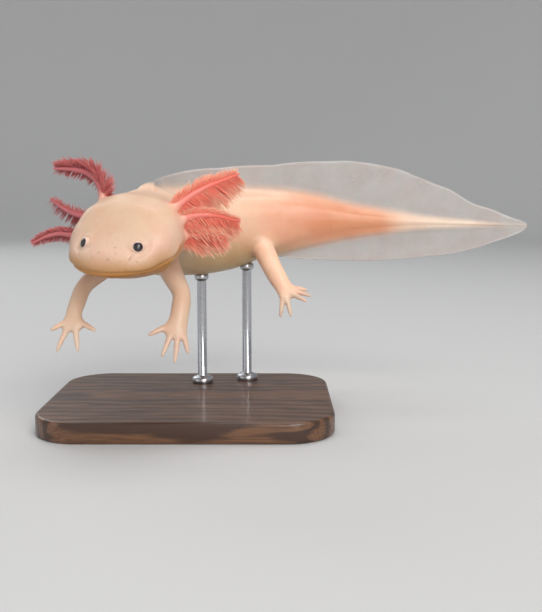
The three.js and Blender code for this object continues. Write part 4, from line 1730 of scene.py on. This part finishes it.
# ---- gill fringes
@dataclass
class FringeTree:
    """The node tree that sets ranks of filaments along a stalk.

    Each rank runs the stalk's whole length at its own angle. Few or none stand in front of the stalk.
    """

    ranks: tuple[tuple[float, float], ...]
    sides: int = 5
    bends: int = 6
    # filaments behind this angle take the shorter length
    behind: float = 100
    # how a filament's thickness changes along it, and the filaments' length along the stalk
    taper: tuple[tuple[float, float], ...] = ((0, 1), (0.5, 0.84), (0.85, 0.55), (1, 0.26))
    lengths: tuple[tuple[float, float], ...] = (
        (0, 0.86), (0.12, 1.0), (0.32, 1.0), (0.55, 0.9), (0.8, 0.72), (1, 0.42),
    )  # fmt: skip
    # the random spread of a filament's lean, direction, length and place, in metres, along the stalk
    lean: tuple[float, float] = (0.7, 1.3)
    stray: float = 0.24
    uneven: tuple[float, float] = (0.72, 1.1)
    shift: float = 0.0003

    def __post_init__(self) -> None:
        """Makes the tree with its named inputs."""
        self.tree = bpy.data.node_groups.new("gill_fringe", "GeometryNodeTree")
        sockets = self.tree.interface
        sockets.new_socket("Stalk", in_out="INPUT", socket_type="NodeSocketGeometry")
        self.inputs = {
            name: sockets.new_socket(name, in_out="INPUT", socket_type=f"NodeSocket{kind}").identifier
            for name, kind in (
                ("Count", "Int"), ("Long", "Float"), ("Short", "Float"), ("Thickness", "Float"),
                ("Sweep", "Float"), ("Hang", "Vector"), ("Back", "Float"), ("Seed", "Int"),
                ("Finish", "Material"),
            )
        }  # fmt: skip
        sockets.new_socket("Fringe", in_out="OUTPUT", socket_type="NodeSocketGeometry")
        self.source = self.tree.nodes.new("NodeGroupInput")
        self.result = self.tree.nodes.new("NodeGroupOutput")
        self.build()

    def put(self, socket: Socket, value: object) -> None:
        """Joins a socket to another one, or gives it a value.

        Args:
            socket: a node's input.
            value: the output that feeds it, or what it holds.
        """
        if isinstance(value, Socket):
            self.tree.links.new(value, socket)
        else:
            socket.default_value = value

    def add(self, kind: str, values: dict[str | int, object] | None = None, **settings: object) -> Node:
        """Adds a node.

        Args:
            kind: its type.
            values: what its inputs take, by name or number.
            settings: its own settings.

        Returns:
            The node.
        """
        node = self.tree.nodes.new(kind)
        for name, value in settings.items():
            setattr(node, name, value)
        for name, value in (values or {}).items():
            self.put(node.inputs[name], value)
        return node

    def maths(self, operation: str, *values: object) -> Socket:
        """The result of a Math node."""
        return self.add("ShaderNodeMath", dict(enumerate(values)), operation=operation).outputs[0]

    def vectors(self, operation: str, *values: object) -> Socket:
        """The vector that a Vector Math node gives."""
        return self.add("ShaderNodeVectorMath", dict(enumerate(values)), operation=operation).outputs[0]

    def scaled(self, vector: object, by: object) -> Socket:
        """A vector times a number."""
        return self.add("ShaderNodeVectorMath", {0: vector, "Scale": by}, operation="SCALE").outputs[0]

    def curve(self, value: object, points: Sequence[tuple[float, float]]) -> Socket:
        """A value carried through a drawn curve.

        Args:
            value: the value.
            points: the curve's points.

        Returns:
            What the curve gives.
        """
        node = self.add("ShaderNodeFloatCurve", {"Value": value})
        drawn = node.mapping.curves[0].points
        for spot, (x, y) in zip(drawn, (points[0], points[-1]), strict=False):
            spot.location = (x, y)
        for x, y in points[1:-1]:
            drawn.new(x, y)
        node.mapping.update()
        return node.outputs[0]

    def random(self, low: object, high: object, seed: object, kind: str = "FLOAT") -> Socket:
        """A random number or vector for each point.

        Args:
            low: the least value.
            high: the greatest.
            seed: which draw it is.
            kind: FLOAT, or FLOAT_VECTOR for a vector.

        Returns:
            The numbers or vectors.
        """
        node = self.add("FunctionNodeRandomValue", {"Seed": seed}, data_type=kind)
        first, second = (0, 1) if kind == "FLOAT_VECTOR" else (2, 3)
        self.put(node.inputs[first], low)
        self.put(node.inputs[second], high)
        return node.outputs[0 if kind == "FLOAT_VECTOR" else 1]

    def filament(self, length: Socket) -> Socket:
        """One filament along +Z, bent towards +X, tapering to its tip.

        Args:
            length: how long it is.

        Returns:
            Its mesh, with how far along it each point lies.
        """
        middle = self.add("ShaderNodeCombineXYZ", {"Z": self.maths("MULTIPLY", length, 0.55)}).outputs[0]
        end = self.add(
            "ShaderNodeCombineXYZ",
            {"X": self.maths("MULTIPLY", length, 0.34), "Z": self.maths("MULTIPLY", length, 0.92)},
        ).outputs[0]
        line = self.add(
            "GeometryNodeCurveQuadraticBezier",
            {"Resolution": self.bends, "Start": (0, 0, 0), "Middle": middle, "End": end},
        )
        share = self.add("GeometryNodeSplineParameter").outputs["Factor"]
        named = self.add(
            "GeometryNodeStoreNamedAttribute",
            {"Geometry": line.outputs[0], "Name": "along", "Value": share},
            data_type="FLOAT",
            domain="POINT",
        )
        thin = self.curve(share, self.taper)
        tapered = self.add("GeometryNodeSetCurveRadius", {"Curve": named.outputs[0], "Radius": thin})
        profile = self.add(
            "GeometryNodeCurvePrimitiveCircle",
            {"Resolution": self.sides, "Radius": self.source.outputs["Thickness"]},
        )
        ends = {"Curve": tapered.outputs[0], "Profile Curve": profile.outputs[0], "Fill Caps": True}
        skinned = self.add("GeometryNodeCurveToMesh", ends)
        if "Scale" in skinned.inputs:
            self.put(skinned.inputs["Scale"], thin)
        return skinned.outputs[0]

    def rank(self, number: int, stalk: Socket, filament: Socket) -> Socket:
        """A rank of filaments set along the stalk.

        Args:
            number: the rank's number.
            stalk: the stalk's line.
            filament: the filament that is set on it.

        Returns:
            The rank.
        """
        angle, size = self.ranks[number]
        given = self.source.outputs
        count = given["Count"]
        points = self.add("GeometryNodeCurveToPoints", {"Curve": stalk, "Count": count}, mode="COUNT")
        share = self.maths("DIVIDE", self.add("GeometryNodeInputIndex").outputs[0], count)
        tangent = points.outputs["Tangent"]
        seed = self.maths("ADD", given["Seed"], number * 17)
        dot = self.add("ShaderNodeVectorMath", {0: given["Hang"], 1: tangent}, operation="DOT_PRODUCT")
        along = self.scaled(tangent, dot.outputs["Value"])
        down = self.vectors("NORMALIZE", self.vectors("SUBTRACT", given["Hang"], along))
        side = self.scaled(self.vectors("CROSS_PRODUCT", tangent, down), given["Back"])
        turn = math.radians(angle)
        out = self.vectors("ADD", self.scaled(down, math.cos(turn)), self.scaled(side, math.sin(turn)))
        lean = self.maths("MULTIPLY", given["Sweep"], self.random(*self.lean, seed))
        jitter = self.random((-self.stray,) * 3, (self.stray,) * 3, seed, "FLOAT_VECTOR")
        way = self.vectors("ADD", self.vectors("ADD", out, self.scaled(tangent, lean)), jitter)
        droop = self.vectors("ADD", self.scaled(tangent, 0.5), (0.0, 0.0, -0.6))
        stand = self.add("FunctionNodeAlignRotationToVector", {"Vector": way}, axis="Z")
        twist = self.add(
            "FunctionNodeAlignRotationToVector",
            {"Rotation": stand.outputs[0], "Vector": droop},
            axis="X",
            pivot_axis="Z",
        )
        profile = self.maths("MULTIPLY", self.curve(share, self.lengths), size)
        length = self.maths("MULTIPLY", profile, self.random(*self.uneven, seed))
        offset = self.scaled(tangent, self.random(-self.shift, self.shift, seed))
        moved = self.add("GeometryNodeSetPosition", {0: points.outputs["Points"], "Offset": offset})
        return self.add(
            "GeometryNodeInstanceOnPoints",
            {"Points": moved.outputs[0], "Instance": filament, "Rotation": twist.outputs[0], "Scale": length},
        ).outputs[0]

    def build(self) -> None:
        """Joins the nodes: two lengths of filament, the ranks of them, and their attributes and finish."""
        given = self.source.outputs
        stalk = self.add("GeometryNodeMeshToCurve", {"Mesh": given["Stalk"]}).outputs[0]
        long, short = self.filament(given["Long"]), self.filament(given["Short"])
        ranks = [
            self.rank(number, stalk, short if angle > self.behind else long)
            for number, (angle, _) in enumerate(self.ranks)
        ]
        joined = self.add("GeometryNodeJoinGeometry")
        for rank in reversed(ranks):
            self.tree.links.new(rank, joined.inputs[0])
        shade = self.random(0.0, 1.0, self.maths("ADD", given["Seed"], 5))
        shaded = self.add(
            "GeometryNodeStoreNamedAttribute",
            {"Geometry": joined.outputs[0], "Name": "shade", "Value": shade},
            data_type="FLOAT",
            domain="INSTANCE",
        )
        real = self.add("GeometryNodeRealizeInstances", {"Geometry": shaded.outputs[0]})
        smooth = self.add("GeometryNodeSetShadeSmooth", {0: real.outputs[0]})
        dressed = self.add("GeometryNodeSetMaterial", {0: smooth.outputs[0], "Material": given["Finish"]})
        self.put(self.result.inputs[0], dressed.outputs[0])


@dataclass
class Fringe:
    """A gill's filaments, set along its stalk by the fringe tree."""

    plan: GillPlan
    tree: FringeTree
    finish: bpy.types.Material
    seed: int
    spacing: float = 0.43
    thickness: float = 0.22
    sweep: float = 0.5
    # in the UV map: a filament's patch, where the grid starts, how far it runs, and the step between patches
    patch: float = 0.003
    grid_start: float = 0.03
    grid_run: float = 0.94
    grid_step: float = 0.02

    def build(self) -> bpy.types.Object:
        """Grows the filaments.

        Returns:
            The fringe, as one plain mesh.
        """
        path = self.plan.path
        start = self.plan.bare / path.length
        line = path.at(np.linspace(start, 0.95, 30)) * MM
        mesh = bpy.data.meshes.new(f"{self.plan.name}_stalk_line")
        mesh.from_pydata([tuple(p) for p in line], [(i, i + 1) for i in range(len(line) - 1)], [])
        guide = add_mesh(f"{self.plan.name}_fringe", mesh)
        count = int(path.length * (1 - start) / self.spacing)
        far, near = self.plan.reach
        grow = guide.modifiers.new("fringe", "NODES")
        grow.node_group = self.tree.tree
        values = {
            "Count": count,
            "Long": far * MM,
            "Short": near * MM,
            "Thickness": self.thickness * MM,
            "Sweep": self.sweep,
            "Hang": tuple(float(v) for v in unit(self.plan.turned(self.plan.hang))),
            "Back": 1.0 if self.plan.stalk[0][1] > 0 else -1.0,
            "Seed": self.seed,
            "Finish": self.finish,
        }
        for name, value in values.items():
            grow[self.tree.inputs[name]] = value
        grown = evaluated_copy(guide, guide.name)
        guide.modifiers.clear()
        guide.data = grown
        self.lay_patches(grown, count)
        return guide

    def lay_patches(self, mesh: bpy.types.Mesh, count: int) -> None:
        """Gives each filament a small patch of the OFBake map, at its root's place on the stalk unrolled.

        Args:
            mesh: the fringe.
            count: how many filaments each rank has.
        """
        ranks = self.tree.ranks
        each = len(mesh.polygons) // (count * len(ranks))
        layer = mesh.uv_layers.get("OFBake") or mesh.uv_layers.new(name="OFBake")
        along = np.zeros(len(mesh.vertices), np.float32)
        mesh.attributes["along"].data.foreach_get("value", along)
        owner = np.zeros(len(mesh.loops), np.int64)
        mesh.loops.foreach_get("vertex_index", owner)
        face = np.repeat(np.arange(len(mesh.polygons)), [p.loop_total for p in mesh.polygons])
        filament = face // each
        rank, place = filament // count, filament % count
        turn = (owner % self.tree.sides) / self.tree.sides
        u = self.grid_start + self.grid_run * (place / count) + self.patch * along[owner]
        v = self.grid_start + self.grid_run * (rank / len(ranks)) + self.patch * turn
        v = v + self.grid_step * (place % 4)
        layer.data.foreach_set("uv", np.stack([u, v], -1).astype(np.float32).ravel())

    def dress(self, made: bpy.types.Object) -> None:
        """Rides the fringe on the body and lets it stand for the gill.

        Args:
            made: the fringe.
        """
        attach(made, BODY)
        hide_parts(self.plan.name)


# ---- eyes
@dataclass
class Eye:
    """A glossy eye ball, dark in a thin pale ring."""

    plan: EyePlan
    around: int = 56
    across: int = 36
    flat: float = 0.94

    def build(self) -> bpy.types.Object:
        """Turns the ball about the way that the eye looks.

        Returns:
            The eye ball.
        """
        look = self.plan.look
        side = unit(np.cross(look, (0.0, 0.0, 1.0)))
        above = np.cross(side, look)
        tilt = np.linspace(0.02, np.pi - 0.02, self.across)
        turn = 2 * np.pi * np.arange(self.around) / self.around
        rings = (
            self.plan.centre
            + look * (np.cos(tilt) * self.flat * self.plan.radius)[:, None, None]
            + side * (np.sin(tilt)[:, None] * np.cos(turn) * self.plan.radius)[..., None]
            + above * (np.sin(tilt)[:, None] * np.sin(turn) * self.plan.radius)[..., None]
        )
        made = loft(rings).to_object("eye_ball_left" if self.plan.side > 0 else "eye_ball_right")
        gaze = np.concatenate([np.repeat(tilt / np.pi, self.around), [0.0, 1.0]])
        set_values(made.data, "gaze", gaze)
        return made

    def dress(self, made: bpy.types.Object, finish: bpy.types.Material) -> None:
        """Gives the eye its finish and lets it stand for the eye's solid.

        Args:
            made: the eye ball.
            finish: its finish.
        """
        made.data.materials.append(finish)
        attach(made, BODY)
        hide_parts("eye_left" if self.plan.side > 0 else "eye_right")


# ---- display stand
@dataclass
class StandBase:
    """A rounded slab of wood with soft edges."""

    length: float = 112
    depth: float = 86
    thick: float = 8
    corner: float = 18
    edge: float = 1.2
    corner_points: int = 20
    # insets of the inner rings that close the flat faces
    flat_insets: tuple[float, float] = (6, 0.4)

    def outline(self, inset: float) -> Array:
        """The slab's outline, moved in.

        Args:
            inset: how far.

        Returns:
            Its points, all the way round.
        """
        x, y, r = self.length / 2 - self.corner, self.depth / 2 - self.corner, self.corner - inset
        points = []
        for k, (cx, cy) in enumerate(((x, y), (-x, y), (-x, -y), (x, -y))):
            turn = np.pi / 2 * (k + np.linspace(0, 1, self.corner_points))
            points.append(np.stack([cx + r * np.cos(turn), cy + r * np.sin(turn)], -1))
        return np.vstack(points)

    def build(self) -> bpy.types.Object:
        """Stacks the outlines of the slab's rounded edges.

        Returns:
            The base.
        """
        turns = np.linspace(0, np.pi / 2, 5)
        foot = [(self.edge * (1 - math.sin(t)), self.edge * (1 - math.cos(t))) for t in turns]
        lower = [(self.edge + inset, 0.0) for inset in self.flat_insets] + foot
        levels = lower + [(inset, self.thick - z) for inset, z in reversed(lower)]
        rings = []
        for inset, z in levels:
            flat = self.outline(inset)
            rings.append(np.concatenate([flat, np.full((len(flat), 1), z)], axis=1))
        return loft(np.stack(rings)).to_object("stand_slab")

    def dress(self, made: bpy.types.Object) -> None:
        """Gives the base its finish and lets it stand for its solid.

        Args:
            made: the base.
        """
        made.data.materials.append(WoodFinish().make())
        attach(made, BODY)
        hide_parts("stand_base")


@dataclass
class StandRod:
    """A slim steel rod in a small turned foot, with a rounded collar just under the belly."""

    name: str
    s: float
    base_top: float = 8
    radius: float = 2
    foot: float = 4.5
    foot_high: float = 3
    sides: int = 40
    # how far above the base the search for the belly starts, and how far the rod presses into it
    search: float = 4
    press: float = 0.35

    def build(self, skin: bpy.types.Object) -> bpy.types.Object:
        """Turns the rod.

        Args:
            skin: the skin that it holds up.

        Returns:
            The rod.
        """
        x, y, _ = PLAN.point(self.s)
        tree = BVHTree.FromObject(skin, bpy.context.evaluated_depsgraph_get())
        hit = tree.ray_cast(Vector((x, y, self.base_top + self.search)) * MM, Vector((0, 0, 1)))[0]
        top = hit.z / MM + self.press
        r, f, low, neck = self.radius, self.foot, self.base_top, self.base_top + self.foot_high
        profile = [
            (0.3, low), (f - 0.2, low), (f, low + 0.2), (f, low + 1.6), (f - 0.25, low + 2.1),
            (f - 0.9, low + 2.6), (r + 0.7, neck - 0.1), (r + 0.25, neck), (r, neck + 0.25),
            (r, (low + top) / 2), (r, top - 3.2), (r + 0.1, top - 2.9), (r + 0.75, top - 2.5),
            (r + 0.95, top - 1.9), (r + 0.95, top - 0.7), (r + 0.7, top - 0.1), (r, top + 0.3),
            (0.3, top + 0.4),
        ]  # fmt: skip
        turn = 2 * np.pi * np.arange(self.sides) / self.sides
        round_x, round_y = np.cos(turn), np.sin(turn)
        rings = [np.stack([x + p * round_x, y + p * round_y, np.full(self.sides, z)], -1) for p, z in profile]
        return loft(np.stack(rings)).to_object(f"{self.name}_turned")

    def dress(self, made: bpy.types.Object, finish: bpy.types.Material) -> None:
        """Gives the rod its finish and lets it stand for its solid.

        Args:
            made: the rod.
            finish: its finish.
        """
        made.data.materials.append(finish)
        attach(made, BODY)
        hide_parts(self.name)


# ---- studio
@dataclass(frozen=True)
class Lamp:
    """A square soft light that shines at the model."""

    name: str
    place: Point
    size: float
    power: float
    colour: Colour = (1.0, 1.0, 1.0)


@dataclass
class Studio:
    """A round pale backdrop, soft lights and the camera."""

    floor: float = 1.3
    cove: float = 0.5
    wall: float = 1.5
    sides: int = 96
    room_colour: Colour = (0.93, 0.96, 1.0)
    room_strength: float = 0.39
    aim: Point = (0.03, -0.01, 0.06)
    camera_place: Point = (0.032, -0.343, 0.090)
    camera_aim: Point = (0.032, -0.003, 0.0446)
    field_of_view: float = 38.8
    lamps: tuple[Lamp, ...] = (
        Lamp("key_light", (0.5, -0.9, 0.9), 0.6, 8.3, (1.0, 0.97, 0.93)),
        Lamp("fill_light", (-0.9, -0.6, 0.35), 0.8, 1.4, (0.95, 0.97, 1.0)),
        Lamp("front_light", (0.4, -1.2, 0.35), 0.6, 5.6, (1.0, 0.98, 0.96)),
        Lamp("top_light", (0.05, 0.2, 1.25), 0.7, 4.9),
        Lamp("back_light", (-0.6, 0.8, 0.7), 0.6, 2.5),
    )

    def backdrop(self) -> bpy.types.Object:
        """The floor, which curves up into a wall all round.

        Returns:
            The backdrop.
        """
        turns = np.linspace(0, np.pi / 2, 14)
        profile = [(r, 0.0) for r in (0.002, 0.25, 0.6, 1.0)]
        profile += [(self.floor + self.cove * math.sin(t), self.cove * (1 - math.cos(t))) for t in turns]
        profile.append((self.floor + self.cove, self.wall))
        sides = self.sides
        turn = 2 * np.pi * np.arange(sides) / sides
        points = [(r * math.cos(t), r * math.sin(t), z) for r, z in profile for t in turn]
        faces = [
            (k + j, k + (j + 1) % sides, k + sides + (j + 1) % sides, k + sides + j)
            for k in range(0, (len(profile) - 1) * sides, sides)
            for j in range(sides)
        ]
        faces.append(tuple(reversed(range(sides))))
        mesh = bpy.data.meshes.new("studio_floor")
        mesh.from_pydata(points, [], faces)
        made = add_mesh("studio_floor", mesh)
        mesh.materials.append(BackdropFinish().make())
        return made

    def light(self) -> None:
        """Sets the lights and the even light of the room."""
        for lamp in self.lamps:
            data = bpy.data.lights.new(lamp.name, "AREA")
            data.shape = "SQUARE"
            data.size = lamp.size
            data.energy = lamp.power
            data.color = lamp.colour
            made = bpy.data.objects.new(lamp.name, data)
            made.location = lamp.place
            made.rotation_euler = (Vector(self.aim) - Vector(lamp.place)).to_track_quat("-Z", "Y").to_euler()
            bpy.context.scene.collection.objects.link(made)
        world = bpy.data.worlds.new("studio_room")
        world.use_nodes = True
        room = world.node_tree.nodes["Background"]
        room.inputs["Color"].default_value = (*self.room_colour, 1.0)
        room.inputs["Strength"].default_value = self.room_strength
        bpy.context.scene.world = world

    def look(self) -> None:
        """Sets the camera and how the picture is developed."""
        data = bpy.data.cameras.new("camera")
        data.lens = data.sensor_width / 2 / math.tan(math.radians(self.field_of_view / 2))
        data.clip_start, data.clip_end = 0.01, 20
        made = bpy.data.objects.new("camera", data)
        made.location = self.camera_place
        aim = Vector(self.camera_aim) - Vector(self.camera_place)
        made.rotation_euler = aim.to_track_quat("-Z", "Y").to_euler()
        bpy.context.scene.collection.objects.link(made)
        bpy.context.scene.camera = made
        bpy.context.scene.view_settings.view_transform = "Standard"


# ---- the whole model
def report(made: bpy.types.Object) -> None:
    """Logs a piece's name and size."""
    LOG.info("%s: %d faces", made.name, len(made.data.polygons))


def main() -> None:
    """Builds the model's pieces in order, and then the studio."""
    logging.basicConfig(level=logging.INFO, format="%(name)s %(message)s", stream=sys.stdout)
    skin = Skin()
    body = skin.build()
    skin.dress(body)
    report(body)
    eye_finish = EyeFinish().make()
    for eye in (Eye(plan) for plan in EYES):
        ball = eye.build()
        eye.dress(ball, eye_finish)
        report(ball)
    trees = {GillTone.CORAL: FringeTree(FULL_RANKS), GillTone.DUSKY: FringeTree(BACK_RANKS)}
    finishes = {tone: GillFinish(tone).make() for tone in GillTone}
    for number, plan in enumerate(GILLS):
        fringe = Fringe(plan, trees[plan.tone], finishes[plan.tone], 40 + 7 * number)
        filaments = fringe.build()
        fringe.dress(filaments)
        report(filaments)
    base = StandBase()
    slab = base.build()
    base.dress(slab)
    report(slab)
    steel = SteelFinish().make()
    for rod in (StandRod("stand_rod_front", 94), StandRod("stand_rod_rear", 114)):
        turned = rod.build(body)
        rod.dress(turned, steel)
        report(turned)
    studio = Studio()
    studio.backdrop()
    studio.light()
    studio.look()


if __name__ == "__main__":
    main()
